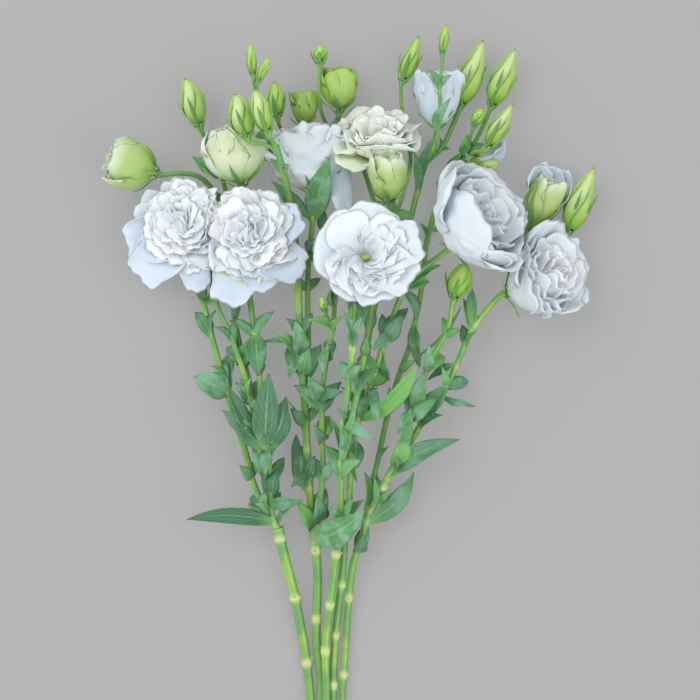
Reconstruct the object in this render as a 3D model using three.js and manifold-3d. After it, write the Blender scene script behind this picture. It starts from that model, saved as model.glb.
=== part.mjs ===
// A bunch of five cut stems of white double lisianthus, laid down on a surface.
// Millimetres. X runs to the right and Y along the stems, from the cut ends to the flowers.
// Z is up from the surface. The origin is under the rear stem, where it lies on the surface.
import * as THREE from "three";
import { mergeVertices } from "three/addons/utils/BufferGeometryUtils.js";
import Module from "manifold-3d";

const wasm = await Module();
wasm.setup();

// Driving sizes
const bladeThickness = 1; // petals and leaves, along their middle
const cupRadius = 3.2; // a stalk's end under a flower
const smallCupRadius = 1.6; // the same under a small bud
const straightEnd = 4.5; // how far a stalk runs straight into the flower that it carries
const smallBud = 9; // a bud narrower than this has no sepals of its own
const budFoot = 1.6;
const budTip = 0.6;
const budTwist = 1.5; // radians that a bud's petals are wound, from its foot to its tip
const budLobes = 0.13; // depth of the furrows between them, as a share of its radius
const pistilSides = 6;
const seatGap = 0.3; // between a flower and the stalk end that carries it
const thickStem = 2.5; // radius from which a shoot is made with more sides
const stemSides = 8;
const stalkSides = 5;
const stemStep = 34; // length of one stem segment
const stalkStep = 32; // length of one stalk segment
const knotSwelling = 0.36; // how much a stem joint is thicker than the stem, as a share
const knotReach = 5; // how far a joint's swelling runs along the stem each way
const knotClearance = 8; // no other ring of the stem lies closer to a joint than this
const longLeaf = 24; // past this length a leaf has one more fold along it
const widestLeaf = 0.4; // where a leaf is widest, as a share of its length
const leafFootShare = 0.25; // a leaf's width at its foot against its widest
const leafTipFullness = 0.85; // less than 1 rounds the tip
const leafTipShare = 0.02;
const sinkDepth = 1.5; // how far a leaf's foot runs into its stem
const groundClearance = 0.7; // height of a petal's middle where it lies on the surface
const groundSoftness = 3; // height over which it bends as it meets the surface
const pressSoftness = 8; // the same between flowers that touch
const petalOverlap = 1.24; // a petal's width against its share of the way round the flower
const coreShare = 0.64; // an opening bud's closed middle against the whole
const layerRise = 1.8; // how much higher each inner layer of petals starts
const layerClearance = 2.5; // how much deeper each inner layer of petals bends away from a neighbour
const sepalClearance = 1.5; // from a flower's outside to its sepals
const sepalHalf = 1.3; // half a sepal's width
const sepalDepth = 0.9; // from its outer face to its inner ridge
const calyxFloor = 0.8; // how far out a sepal's foot starts, as a share of the stalk's end
const lengthSpread = [0.94, 1.05]; // a petal's length against its layer's
const leanSpread = [-3, 3]; // degrees, at its rim
const turnSpread = [-0.12, 0.12]; // radians, round the flower

const white = new THREE.MeshStandardMaterial({ color: "#eef0f4", roughness: 0.7 });
const cream = new THREE.MeshStandardMaterial({ color: "#e9efd6", roughness: 0.7 });
const paleGreen = new THREE.MeshStandardMaterial({ color: "#c3d88a", roughness: 0.65 });
const freshGreen = new THREE.MeshStandardMaterial({ color: "#6fa352", roughness: 0.6 });
const pistilGreen = new THREE.MeshStandardMaterial({ color: "#b5bd52", roughness: 0.6 });

const point = (xyz) => new THREE.Vector3(...xyz);
const radians = THREE.MathUtils.degToRad;
const mix = THREE.MathUtils.lerp;

// The same draws on every run: a small linear congruential generator.
function drawsFrom(seed) {
  let state = seed * 7919 + 12345;
  return (low, high) => {
    state = (state * 16807) % 2147483647;
    return mix(low, high, state / 2147483647);
  };
}

// Solids

function solidOf(points, faces) {
  const geometry = new THREE.BufferGeometry().setFromPoints(points).setIndex(faces);
  const merged = mergeVertices(geometry, 1e-4);
  const kept = [];
  const index = merged.index.array;
  for (let i = 0; i < index.length; i += 3) {
    const [a, b, c] = [index[i], index[i + 1], index[i + 2]];
    if (a !== b && b !== c && a !== c) kept.push(a, b, c);
  }
  return new wasm.Manifold(
    new wasm.Mesh({
      numProp: 3,
      vertProperties: merged.attributes.position.array,
      triVerts: new Uint32Array(kept),
    }),
  );
}

// A closed skin over rings of equal count. A ring of one repeated point closes to a tip.
function loft(rings) {
  const count = rings[0].length;
  const last = (rings.length - 1) * count;
  const faces = sideFaces(rings);
  for (let i = 1; i + 1 < count; i++) faces.push(last, last + i, last + i + 1);
  return solidOf(rings.flat(), faces);
}

// The skin between rings, closed at the first of them.
function sideFaces(rings) {
  const count = rings[0].length;
  const faces = [];
  for (let row = 0; row + 1 < rings.length; row++)
    for (let i = 0; i < count; i++) {
      const a = row * count + i;
      const b = row * count + ((i + 1) % count);
      faces.push(a, b, b + count, a, b + count, a + count);
    }
  for (let i = 1; i + 1 < count; i++) faces.push(0, i + 1, i);
  return faces;
}

// The same skin, with its last ring closed by a calyx: a narrow three-sided sepal stands on each
// side of that ring. outline gives the distance out and the height of a sepal's middle and its tip.
function loftWithCalyx(rings, axis, outline) {
  const points = rings.flat();
  const faces = sideFaces(rings);
  const ring = rings.at(-1);
  const last = points.length - ring.length;
  const centre = ring.reduce((sum, place) => sum.add(place), new THREE.Vector3());
  centre.divideScalar(ring.length);
  const floor = points.push(centre) - 1;
  const [middle, tip] = outline;
  const inner = ring.map((place, k) => {
    const next = (k + 1) % ring.length;
    const out = place.clone().add(ring[next]).divideScalar(2).sub(centre);
    const foot = points.push(centre.clone().addScaledVector(out, calyxFloor)) - 1;
    out.normalize();
    const beside = axis.clone().cross(out);
    const at = (far, height, across) => {
      const place = centre.clone().addScaledVector(out, far).addScaledVector(axis, height);
      return pressed(place.addScaledVector(beside, across));
    };
    const [left, right] = [last + k, last + next];
    const low = points.push(at(middle[0] + sepalDepth, middle[1], -sepalHalf)) - 1;
    points.push(at(middle[0] + sepalDepth, middle[1], sepalHalf), at(...middle, 0), at(...tip, 0));
    const [far, near, end] = [low + 1, low + 2, low + 3];
    faces.push(left, right, far, left, far, low, right, foot, near, right, near, far);
    faces.push(foot, left, low, foot, low, near, low, far, end, far, near, end, near, low, end);
    return foot;
  });
  inner.forEach((foot, k) => {
    const next = (k + 1) % ring.length;
    faces.push(floor, foot, last + next, floor, last + next, inner[next]);
  });
  return solidOf(points, faces);
}

// A thin closed blade round a curved middle surface. It thins to an edge at its sides and its tip,
// and both faces are cut into the same triangles, mirrored about the midrib.
function blade(surface, across, along) {
  const middle = [];
  for (let j = 0; j <= along; j++)
    for (let i = 0; i <= across; i++) middle.push(surface((2 * i) / across - 1, j / along));
  const place = (i, j) => j * (across + 1) + i;
  const size = middle.length;
  const front = [];
  const back = [];
  for (let j = 0; j <= along; j++)
    for (let i = 0; i <= across; i++) {
      const atEdge = i === 0 || i === across || j === along;
      const normal = atEdge ? new THREE.Vector3() : normalAt(middle, place, i, j);
      front.push(middle[place(i, j)].clone().addScaledVector(normal, bladeThickness / 2));
      back.push(middle[place(i, j)].clone().addScaledVector(normal, -bladeThickness / 2));
    }
  const faces = [];
  const bothFaces = (a, b, c) => faces.push(a, b, c, a + size, c + size, b + size);
  for (let j = 0; j < along; j++)
    for (let i = 0; i < across; i++) {
      const [a, b, c, d] = [place(i, j), place(i + 1, j), place(i + 1, j + 1), place(i, j + 1)];
      if (2 * i < across - 1) {
        bothFaces(a, b, d);
        bothFaces(b, c, d);
      } else {
        bothFaces(a, b, c);
        bothFaces(a, c, d);
      }
    }
  for (let i = 0; i < across; i++) {
    const [a, b] = [place(i, 0), place(i + 1, 0)];
    faces.push(a + size, b + size, b, a + size, b, a);
  }
  return solidOf([...front, ...back], faces);
}

function normalAt(middle, place, i, j) {
  const beside = middle[place(i + 1, j)].clone().sub(middle[place(i - 1, j)]);
  const ahead = middle[place(i, j + 1)].clone().sub(middle[place(i, Math.max(j - 1, 0))]);
  return beside.cross(ahead).normalize();
}

// A stem or stalk that tapers along a smooth curve and swells at its knots, given by their distance
// from its foot. Where it carries a flower, its end widens to a cup with sepals on it.
function stalk(places, { radii, knots = [], sides, step, cup, calyx }) {
  const curve = new THREE.CatmullRomCurve3(places, false, "centripetal");
  const length = curve.getLength();
  const count = Math.max(3, Math.round(length / step));
  const swollen = knots.map((knot) => knot / length);
  const reach = knotReach / length;
  const clear = knotClearance / length;
  const stations = Array.from({ length: count + 1 }, (_, i) => i / count)
    .filter((share) => share === 1 || swollen.every((knot) => Math.abs(share - knot) > clear))
    .concat(swollen.flatMap((knot) => [knot - reach, knot, knot + reach]))
    .sort((a, b) => a - b);
  const across = new THREE.Vector3(1, 0, 0);
  const rings = stations.map((share, i) => {
    const tangent = curve.getTangentAt(share);
    across.addScaledVector(tangent, -across.dot(tangent)).normalize();
    const swelling = swollen.includes(share) ? 1 + knotSwelling : 1;
    const tapered = mix(radii[0], radii[1], share) * swelling;
    const radius = i === stations.length - 1 && cup ? cup : tapered;
    return ringRound(curve.getPointAt(share), across, tangent.clone().cross(across), radius, sides);
  });
  return calyx ? loftWithCalyx(rings, curve.getTangentAt(1), calyx) : loft(rings);
}

function ringRound(centre, first, second, radius, sides) {
  const ring = [];
  for (let k = 0; k < sides; k++) {
    const turn = ((k + 0.5) * 2 * Math.PI) / sides;
    const out = first.clone().multiplyScalar(Math.cos(turn) * radius);
    ring.push(out.addScaledVector(second, Math.sin(turn) * radius).add(centre));
  }
  return ring;
}

function joined(solids) {
  return solids.reduce((sum, solid) => sum.add(solid));
}

// Leaves

// A leaf from its foot to its tip: ovate, folded on its midrib, bowed by arch and swayed sideways.
// turn is how far it is rolled about its midrib, where 0 shows its face to the viewer.
function leaf({ foot, tip, width, turn = 0, fold = 20, arch = 3, sway = 0 }) {
  const start = point(foot);
  const along = point(tip).sub(start);
  const length = along.length();
  along.normalize();
  start.addScaledVector(along, -sinkDepth);
  const flat = new THREE.Vector3(0, 0, 1).cross(along).normalize();
  const face = along.clone().cross(flat);
  const [c, s] = [Math.cos(radians(turn)), Math.sin(radians(turn))];
  const side = flat.clone().multiplyScalar(c).addScaledVector(face, s);
  const up = face.clone().multiplyScalar(c).addScaledVector(flat, -s);
  const rise = Math.sin(radians(fold));
  const spread = Math.cos(radians(fold));
  return blade(
    (u, v) => {
      const half = (width / 2) * leafOutline(v);
      const bow = 4 * v * (1 - v);
      return start
        .clone()
        .addScaledVector(along, (length + sinkDepth) * v)
        .addScaledVector(up, arch * bow + Math.abs(u) * half * rise)
        .addScaledVector(side, sway * bow + u * half * spread);
    },
    2,
    length > longLeaf ? 3 : 2,
  );
}

function leafOutline(v) {
  const quarter = Math.PI / 2;
  if (v < widestLeaf) {
    return leafFootShare + (1 - leafFootShare) * Math.sin((quarter * v) / widestLeaf);
  }
  const closing = Math.cos((quarter * (v - widestLeaf)) / (1 - widestLeaf));
  return Math.max(closing, leafTipShare) ** leafTipFullness;
}

// Flowers and buds

// The local directions of a flower: axis runs from the stalk into the flower.
function directionsOf(flower) {
  const axis = point(flower.axis).normalize();
  const guide = Math.abs(axis.z) < 0.8 ? new THREE.Vector3(0, 0, 1) : new THREE.Vector3(0, 1, 0);
  const first = guide.cross(axis).normalize();
  return { axis, first, second: axis.clone().cross(first) };
}

// A place in a flower, from how far out from the axis, how high along it and how far round it lies.
function placeIn(flower, frame, out, height, angle, across = 0) {
  const radial = frame.first.clone().multiplyScalar(Math.cos(angle));
  radial.addScaledVector(frame.second, Math.sin(angle));
  const tangent = frame.axis.clone().cross(radial);
  return point(flower.foot)
    .addScaledVector(radial, out)
    .addScaledVector(frame.axis, height)
    .addScaledVector(tangent, across);
}

// Bends a place back smoothly where it would pass the surface or a neighbouring flower.
function pressed(place, presses = [], depthInside = 0) {
  const ground = { at: [0, 0, groundClearance], away: [0, 0, 1], softness: groundSoftness };
  for (const { at, away, softness = pressSoftness } of [...presses, ground]) {
    const normal = point(away).normalize();
    const gap = place.clone().sub(point(at)).dot(normal) - depthInside * layerClearance;
    if (gap < softness) {
      const kept = softness * Math.exp((gap - softness) / softness);
      place.addScaledVector(normal, kept - gap);
    }
  }
  return place;
}

// The line that a petal's middle follows: how far out, how high and how much it leans there.
function meridian(layer, v) {
  const steps = 10;
  let out = layer.start;
  let height = layer.lift;
  for (let i = 0; i < steps; i++) {
    const share = (v * (i + 0.5)) / steps;
    const lean = radians(mix(layer.leanFoot, layer.leanRim, share ** layer.bend));
    out += (layer.spread * Math.sin(lean) * layer.length * v) / steps;
    height += (layer.rise * Math.cos(lean) * layer.length * v) / steps;
  }
  return { out, height, lean: radians(mix(layer.leanFoot, layer.leanRim, v ** layer.bend)) };
}

function petal(flower, frame, layer, angle) {
  return (u, v) => {
    const reach = v * (1 - layer.round * u * u);
    const { out, height, lean } = meridian(layer, reach);
    const curve = out * layer.cup;
    const half = Math.min(layer.width, (Math.PI / layer.count) * petalOverlap * curve);
    const bend = (u * half) / curve;
    const inward = curve * (1 - Math.cos(bend));
    const wave = layer.ruffle * v * v * Math.sin((angle + bend) * layer.waves);
    const shift = wave + u * mix(layer.spiral[0], layer.spiral[1], v) - inward;
    const place = placeIn(
      flower,
      frame,
      out + shift * Math.cos(lean),
      height - shift * Math.sin(lean),
      angle,
      curve * Math.sin(bend),
    );
    return pressed(place, flower.presses, layer.depth);
  };
}

// start and lift: where the petals begin, out from the axis and along it.
// spiral: how far a petal's two edges pass outside and inside their neighbours, at the foot and rim.
// waves: how many ruffles go round the flower. cells: how the blade is divided, across and along.
const layerDefaults = {
  start: 2,
  lift: 2,
  bend: 1,
  spread: 1,
  rise: 1,
  ruffle: 1.4,
  waves: 7,
  cup: 1.1,
  spiral: [0.5, 2.6],
  round: 0.16,
  cells: [2, 3],
};

// Petals in their layers, from the outside in.
const layersOf = {
  ruffled: [
    { count: 5, length: 42, width: 19, leanFoot: 35, leanRim: 108, ruffle: 1.6, cells: [3, 3] },
    { count: 5, length: 35, width: 16, leanFoot: 22, leanRim: 84, ruffle: 2.4, cells: [3, 2] },
    { count: 4, length: 28, width: 13, leanFoot: 10, leanRim: 48, ruffle: 2.4, cells: [2, 2] },
  ],
  open: [
    { count: 5, length: 43, width: 21, leanFoot: 24, leanRim: 98, cells: [3, 3] },
    { count: 5, length: 34, width: 16, leanFoot: 14, leanRim: 74, ruffle: 1.8, cells: [2, 2] },
  ],
  cupped: [
    { count: 5, length: 47, width: 24, leanFoot: 78, leanRim: 22 },
    { count: 4, length: 37, width: 19, leanFoot: 58, leanRim: 14, cells: [2, 2] },
  ],
  wide: [
    { count: 4, length: 36, width: 21, leanFoot: 34, leanRim: 88, ruffle: 1.8 },
    { count: 4, length: 28, width: 14, leanFoot: 14, leanRim: 46, ruffle: 2, cells: [2, 2] },
  ],
  fromBehind: [{ count: 5, length: 38, width: 17, leanFoot: 16, leanRim: 56, ruffle: 1.8 }],
  halfOpen: [{ count: 4, length: 37, width: 15, leanFoot: 26, leanRim: 2, ruffle: 0.6 }],
  unfurling: [{ count: 4, length: 39, width: 13, leanFoot: 26, leanRim: 20, ruffle: 1 }],
};

// The outer petals of a bud that has begun to open, from its width and length.
function openingLayers(width, length) {
  const leanFoot = 70;
  const leanRim = -34;
  const spread = (width / 2 - layerDefaults.start) / (1 - Math.cos(radians(leanFoot)));
  const rise = (length - layerDefaults.lift) / (Math.sin(radians(leanFoot)) - Math.sin(radians(leanRim)));
  const sweep = { length: radians(leanFoot - leanRim), leanFoot, leanRim, spread, rise };
  return [{ ...sweep, count: 3, width: width * 0.5, ruffle: 0.4, spiral: [0.8, 1.6] }];
}

function bloom(flower) {
  const frame = directionsOf(flower);
  const draw = drawsFrom(flower.seed);
  const scale = flower.scale ?? 1;
  const opening = flower.form === "opening";
  const solids = [opening ? budBody(flower, frame, coreShare) : seat(flower, frame)];
  const layers = opening ? openingLayers(flower.width, flower.length) : layersOf[flower.form];
  layers.forEach((values, depth) => {
    const layer = { ...layerDefaults, ...values, depth };
    layer.length *= scale;
    layer.width *= scale;
    for (let k = 0; k < layer.count; k++) {
      const own = { ...layer };
      own.length *= draw(...lengthSpread);
      own.leanRim += draw(...leanSpread);
      own.lift += layerRise * depth;
      const share = (k + 0.5 * depth) / layer.count;
      const angle = 2 * Math.PI * share + draw(...turnSpread) + (flower.roll ?? 0);
      solids.push(blade(petal(flower, frame, own, angle), ...own.cells));
    }
  });
  return joined(solids);
}

// The short tube at a flower's foot, in which its petals meet.
function seat(flower, frame) {
  const profile = [
    [1.7, seatGap],
    [3, 5],
    [1.6, 8.5],
  ];
  return loft(profile.map(([out, height]) => ringIn(flower, frame, out, height, stalkSides)));
}

function ringIn(flower, frame, out, height, sides, turn = 0, lobes = 0) {
  const ring = [];
  for (let k = 0; k < sides; k++) {
    const angle = (2 * Math.PI * k) / sides;
    const share = 1 - lobes * (k % 2);
    ring.push(placeIn(flower, frame, out * share, height, angle + turn));
  }
  return ring;
}

// A closed bud: petals wound in a spiral round each other, so its section has five lobes.
function budBody(flower, frame, share = 1) {
  const whole = share < 1 ? { sides: 8, lobes: budLobes } : { sides: 10, lobes: budLobes };
  const { sides, lobes } = isSmall(flower) ? { sides: 6, lobes: 0 } : whole;
  const outline = [
    [0, 0],
    [0.15, 0.76],
    [0.42, 1],
    [0.76, 0.68],
    [1, 0],
  ];
  const rings = outline.map(([height, out]) => {
    const high = mix(seatGap, flower.length * share, height);
    const far = Math.max((flower.width / 2) * share * out, budFoot);
    return ringIn(flower, frame, height < 1 ? far : budTip, high, sides, height * budTwist, lobes);
  });
  return loft(rings);
}

// Where a sepal's middle and tip lie along a flower's outside, as [out, height], clear of it.
function calyxOf(flower) {
  if (flower.width) {
    const half = flower.width / 2;
    return [
      [half * 0.7 + sepalClearance, flower.length * 0.06],
      [half + 1.5 * sepalClearance, flower.length * 0.62],
    ];
  }
  const outer = { ...layerDefaults, ...layersOf[flower.form][0] };
  const alongPetal = [0.1, 0.44];
  return alongPetal.map((v) => {
    const { out, height, lean } = meridian(outer, v);
    const away = sepalClearance * (1 + 2 * v);
    return [out + away * Math.cos(lean), height - away * Math.sin(lean)];
  });
}

// The style and two-lobed stigma that stand in the middle of an open flower.
function pistil(flower) {
  const frame = directionsOf(flower);
  const profile = [
    [1.1, 8.8],
    [1.6, 11.5],
    [0.8, 14],
    [0.8, 16.5],
    [2.1, 18.5],
    [1.3, 20.2],
  ];
  return loft(profile.map(([out, height]) => ringIn(flower, frame, out, height, pistilSides)));
}

// The five stems. A shoot lists its radii at the foot and the top, then the places it passes.
// A shoot that carries a flower ends at that flower's foot.
const stems = {
  stem_left: {
    shoots: [
      {
        radii: [2.7, 3.3], knots: [54, 95, 132],
        at: [
          [-5.15, -28, 3], [-7.1, 0, 3], [-10, 26, 3.4], [-13.5, 45, 5], [-17.5, 66, 8],
          [-22.5, 85, 11], [-28, 108, 15],
        ],
      },
      {
        radii: [2.2, 1.9], carries: "bloom_ruffled_left",
        at: [
          [-28, 107, 15], [-36, 120, 15], [-43, 135, 16], [-49, 158, 18], [-60, 193, 20],
          [-68, 222, 18], [-74, 245, 14], [-80, 268, 10], [-83, 286, 9],
        ],
      },
      {
        radii: [1.9, 1.6], carries: "bud_far_left",
        at: [
          [-28, 107, 16], [-34, 125, 20], [-37, 150, 25], [-41, 170, 27], [-49, 208, 28],
          [-60, 237, 25], [-67, 252, 20], [-71, 272, 10], [-67, 292, 5], [-64, 312, 7],
          [-70, 328, 14], [-80, 337, 22], [-94, 338.5, 28],
        ],
      },
      {
        radii: [2, 1.8], carries: "bud_round",
        at: [
          [-33, 122, 19], [-35, 150, 19], [-39, 170, 19], [-47, 205, 17], [-53, 228, 14],
          [-57, 252, 9], [-57, 280, 1.9], [-55, 300, 3.5], [-52, 316, 14],
        ],
      },
      {
        radii: [1.6, 1.4], carries: "bud_upper_left",
        at: [
          [-56, 294, 2.5], [-60, 318, 4], [-65, 338, 5], [-71.5, 357, 9],
        ],
      },
      {
        radii: [2.2, 1.9], carries: "bloom_ruffled_right",
        at: [
          [-32, 118, 19], [-33, 145, 26], [-36, 175, 30], [-40, 210, 28], [-43, 235, 23],
          [-46, 258, 16], [-47, 276, 13],
        ],
      },
    ],
    leaves: [
      { foot: [-29, 111, 16], tip: [-87, 114, 24], width: 12, arch: 2, sway: -4 },
      { foot: [-27, 110, 17], tip: [-17, 124, 24], width: 8, turn: -50 },
      { foot: [-33, 124, 22], tip: [-11, 127, 34], width: 10, turn: 20, sway: 1 },
      { foot: [-38, 128, 16], tip: [-46, 123, 12], width: 7, turn: 30, fold: 10 },
      { foot: [-38, 160, 30], tip: [-63, 185, 30], width: 14, turn: -15, sway: -3 },
      { foot: [-38, 165, 31], tip: [-60, 201, 37], width: 12, turn: 25, sway: 3 },
      { foot: [-36, 162, 33], tip: [-33, 209, 43], width: 18, fold: 14 },
      { foot: [-35, 160, 33], tip: [-22, 194, 37], width: 17, turn: -15, sway: -4 },
      { foot: [-61, 196, 21], tip: [-82, 207, 25], width: 21, turn: 10, fold: 32, arch: 4 },
      { foot: [-60, 196, 19], tip: [-59, 223, 9], width: 12, turn: -25 },
      { foot: [-42, 233, 25], tip: [-40, 207, 36], width: 15, arch: 4 },
      { foot: [-44, 231, 24], tip: [-50, 208, 20], width: 10, turn: 40 },
      { foot: [-55, 215, 16], tip: [-59, 241, 8], width: 7, turn: 60 },
      { foot: [-68, 337, 14], tip: [-84, 350, 16], width: 10, turn: 20 },
      { foot: [-72, 358, 15], tip: [-70, 369, 22], width: 6, turn: 20 },
    ],
  },
  stem_rear: {
    shoots: [
      {
        radii: [2.8, 2.9], knots: [80, 122],
        at: [
          [0.3, -28, 2.55], [0, -8, 2.55], [0, 8, 2.55], [-1.5, 20, 2.7], [-2.8, 35, 3.3],
          [-2.6, 52, 4.4], [-2, 75, 7], [-3.4, 100, 11],
        ],
      },
      {
        radii: [2.6, 2.2],
        at: [
          [-3.4, 99, 11], [-6, 118, 13], [-8, 145, 16], [-10, 185, 19], [-12.5, 220, 21],
          [-14, 250, 20], [-15, 275, 16], [-17, 300, 15], [-20, 320, 28], [-24, 340, 47],
          [-28, 354, 57],
        ],
      },
      { radii: [1.6, 1.4], at: [[-27, 351, 55], [-30, 357, 61]], carries: "bud_slim_left" },
      {
        radii: [1.3, 1.1], carries: "bud_tip_left",
        at: [
          [-27, 351, 54], [-35, 366, 48], [-40, 382, 46], [-42, 394, 47],
        ],
      },
      { radii: [1.1, 1], at: [[-40, 383, 46], [-40, 391, 49]], carries: "bud_tip_left_side" },
      { radii: [1.4, 1.3], at: [[-27, 351, 55], [-35, 355, 58]], carries: "bud_behind_left" },
      {
        radii: [1.9, 1.7], carries: "bloom_rear",
        at: [
          [-11, 195, 19], [-8, 225, 14], [-8.5, 250, 10], [-8, 280, 8], [-6, 300, 10],
          [-5, 313, 14],
        ],
      },
      {
        radii: [2, 1.7],
        at: [
          [-3, 101, 12], [-0.5, 122, 17], [1.5, 150, 21], [1, 175, 24], [1, 195, 26], [4, 218, 28],
          [8, 238, 30],
        ],
      },
      { radii: [1.3, 1.1], at: [[8, 237, 30], [5, 244, 32]], carries: "bud_star" },
      {
        radii: [1.6, 1.3], carries: "bud_flat_top",
        at: [
          [8, 237, 30], [9, 252, 24], [7, 275, 10], [1, 305, 1.7], [-4, 335, 1.7], [-10, 352, 2.2],
        ],
      },
      {
        radii: [1.3, 1.2], carries: "bud_small_green",
        at: [
          [-7, 345, 1.9], [-18, 356, 4], [-25, 367, 13],
        ],
      },
    ],
    leaves: [
      { foot: [-5, 101, 13], tip: [29, 121, 45], width: 21, turn: 10, fold: 12, arch: 6, sway: -2 },
      { foot: [-5, 102, 11], tip: [-15, 126, 16], width: 9, turn: 35 },
      { foot: [-9, 133, 14], tip: [-16, 169, 10], width: 12, turn: -30 },
      { foot: [-8, 141, 17], tip: [-19, 135, 25], width: 8, turn: 30 },
      { foot: [-10, 160, 17], tip: [-23, 193, 13], width: 6, turn: 80 },
      { foot: [-13, 222, 21], tip: [-30, 236, 30], width: 9, turn: 20 },
      { foot: [-13, 224, 21], tip: [-39, 229, 22], width: 7, turn: 65 },
      { foot: [-12, 221, 23], tip: [-16, 243, 36], width: 12, turn: 10 },
      { foot: [-13, 218, 21], tip: [-21, 206, 27], width: 8, turn: 20 },
      { foot: [-1, 192, 27], tip: [-8, 207, 38], width: 11, turn: 15 },
      { foot: [1, 192, 27], tip: [15, 197, 37], width: 9, turn: -20, sway: 1 },
      { foot: [8, 237, 30], tip: [-9, 243, 38], width: 7, turn: 25, sway: -2 },
      { foot: [8, 237, 30], tip: [15, 246, 40], width: 6, turn: -30 },
      { foot: [5, 224, 29], tip: [2, 209, 38], width: 8, turn: 30 },
      { foot: [-5, 311, 14], tip: [5, 347, 44], width: 17, fold: 16 },
      { foot: [-7, 311, 14], tip: [-32, 334, 30], width: 11, turn: 30, sway: 3 },
    ],
  },
  stem_centre: {
    shoots: [
      {
        radii: [2.6, 2.5], knots: [58, 90, 121],
        at: [
          [3.9, -28, 6.55], [3.8, 0, 6.7], [3.2, 30, 8.1], [4.8, 45, 9.6], [6.6, 61, 12], [8.8, 80, 16],
          [11.5, 100, 22],
        ],
      },
      {
        radii: [2.3, 1.9], carries: "bloom_centre",
        at: [
          [11.3, 98, 21], [13, 125, 32], [14, 150, 39], [15, 175, 43], [18, 200, 47],
          [21, 225, 49], [23, 248, 48], [27, 268, 43],
        ],
      },
      {
        radii: [2, 1.7], carries: "bloom_upper",
        at: [
          [14, 152, 39], [19, 175, 45], [25, 200, 44], [29, 225, 38], [33, 250, 32], [38, 280, 27],
          [40, 305, 25], [39, 325, 22],
        ],
      },
      { radii: [1.5, 1.3], at: [[39, 292, 26], [43, 303, 35], [44, 309, 42]], carries: "bud_centre" },
      {
        radii: [1.6, 1.4], carries: "bud_round_top",
        at: [
          [39.5, 298, 25], [35, 320, 12], [27, 345, 3.5], [18, 362, 3.5], [13, 372, 6],
        ],
      },
      {
        radii: [1.3, 1.1], carries: "bud_ball",
        at: [
          [22, 356, 3.5], [8, 366, 5], [1, 378, 12], [-1, 392, 22], [-0.5, 404, 26],
        ],
      },
      {
        radii: [1.4, 1.2], carries: "bud_pointed_top",
        at: [
          [40, 300, 25], [50, 315, 29], [55, 330, 28], [58.5, 346, 20], [57.5, 362, 9],
          [53.5, 378, 9], [52.5, 391, 16],
        ],
      },
    ],
    leaves: [
      { foot: [14, 152, 41], tip: [23, 187, 52], width: 8, turn: -20 },
      { foot: [13, 151, 37], tip: [6, 181, 35], width: 7, turn: 50 },
      { foot: [20, 178, 46], tip: [36, 167, 55], width: 9, turn: 20, arch: 5 },
      { foot: [21, 226, 49], tip: [15, 249, 60], width: 8, turn: 35 },
      { foot: [21, 226, 49], tip: [27, 245, 60], width: 8, turn: -35 },
      { foot: [23, 240, 47], tip: [19, 263, 40], width: 9, turn: 10 },
    ],
  },
  stem_middle: {
    shoots: [
      {
        radii: [2.6, 2.4], knots: [36, 66, 102],
        at: [
          [8, -28, 3], [8, 0, 3], [8.6, 20, 3.2], [9.8, 38, 3.6], [11.6, 55, 5], [13.8, 73, 8],
          [15.8, 100, 14],
        ],
      },
      { radii: [2.3, 2.1], at: [[15.6, 98, 13.6], [18, 122, 18], [20, 150, 23], [22, 172, 26]] },
      {
        radii: [2, 1.8], carries: "bloom_right",
        at: [
          [22, 170, 26], [29, 192, 28], [37, 215, 30], [44, 236, 31], [51, 256, 33], [62, 273, 37],
          [75, 283, 42],
        ],
      },
      {
        radii: [2.2, 1.9], carries: "bloom_half_open",
        at: [
          [22, 170, 25.5], [25, 192, 19], [30, 225, 12], [36, 255, 8], [47, 285, 6], [58, 308, 9],
          [62.5, 325, 13], [68, 345, 15], [74, 360, 15],
        ],
      },
      {
        radii: [1.3, 1.1], carries: "bud_tip_right",
        at: [
          [67, 342, 15], [73, 354, 30], [77, 370, 38], [77, 392, 38], [78.5, 408, 37],
        ],
      },
      { radii: [1.7, 1.5], at: [[69, 347, 15], [79, 356, 9], [86, 370, 11]], carries: "bud_striped" },
    ],
    leaves: [
      { foot: [22, 172, 27], tip: [24, 138, 30], width: 9, turn: 50 },
      { foot: [33, 205, 30], tip: [59, 210, 44], width: 12, turn: 25, sway: -3 },
      { foot: [32, 200, 29], tip: [36, 176, 42], width: 8, turn: -20 },
      { foot: [35, 210, 31], tip: [28, 222, 32], width: 8, turn: 10 },
      { foot: [40, 224, 31], tip: [45, 204, 24], width: 8, turn: 40 },
      { foot: [43, 233, 33], tip: [34, 224, 42], width: 9, turn: 0 },
      { foot: [44, 234, 31], tip: [57, 251, 30], width: 12, turn: -30 },
      { foot: [56, 264, 35], tip: [78, 279, 30], width: 9, turn: -40 },
      { foot: [63, 328, 14], tip: [61, 353, 24], width: 8, turn: 25 },
      { foot: [65, 333, 15], tip: [73, 362, 27], width: 8, turn: -25 },
      { foot: [75, 365, 38], tip: [84, 386, 45], width: 9, turn: -30, fold: 30 },
    ],
  },
  stem_right: {
    shoots: [
      {
        radii: [2.2, 2.4], knots: [44, 94, 168],
        at: [
          [14, -28, 3], [14.2, 0, 3], [15.4, 16, 3], [17.3, 45, 4], [18.9, 66, 6], [21.5, 85, 9],
          [26.5, 100, 12], [30, 113, 14], [37, 128, 17], [44, 141, 20],
        ],
      },
      {
        radii: [2, 1.6], carries: "bud_drop",
        at: [
          [43.5, 140, 20], [51, 157, 24], [57, 173, 27], [62, 190, 28], [67, 206, 28],
          [74, 222, 27], [82, 236, 27],
        ],
      },
      {
        radii: [2.1, 1.9], carries: "bloom_far_right",
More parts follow.
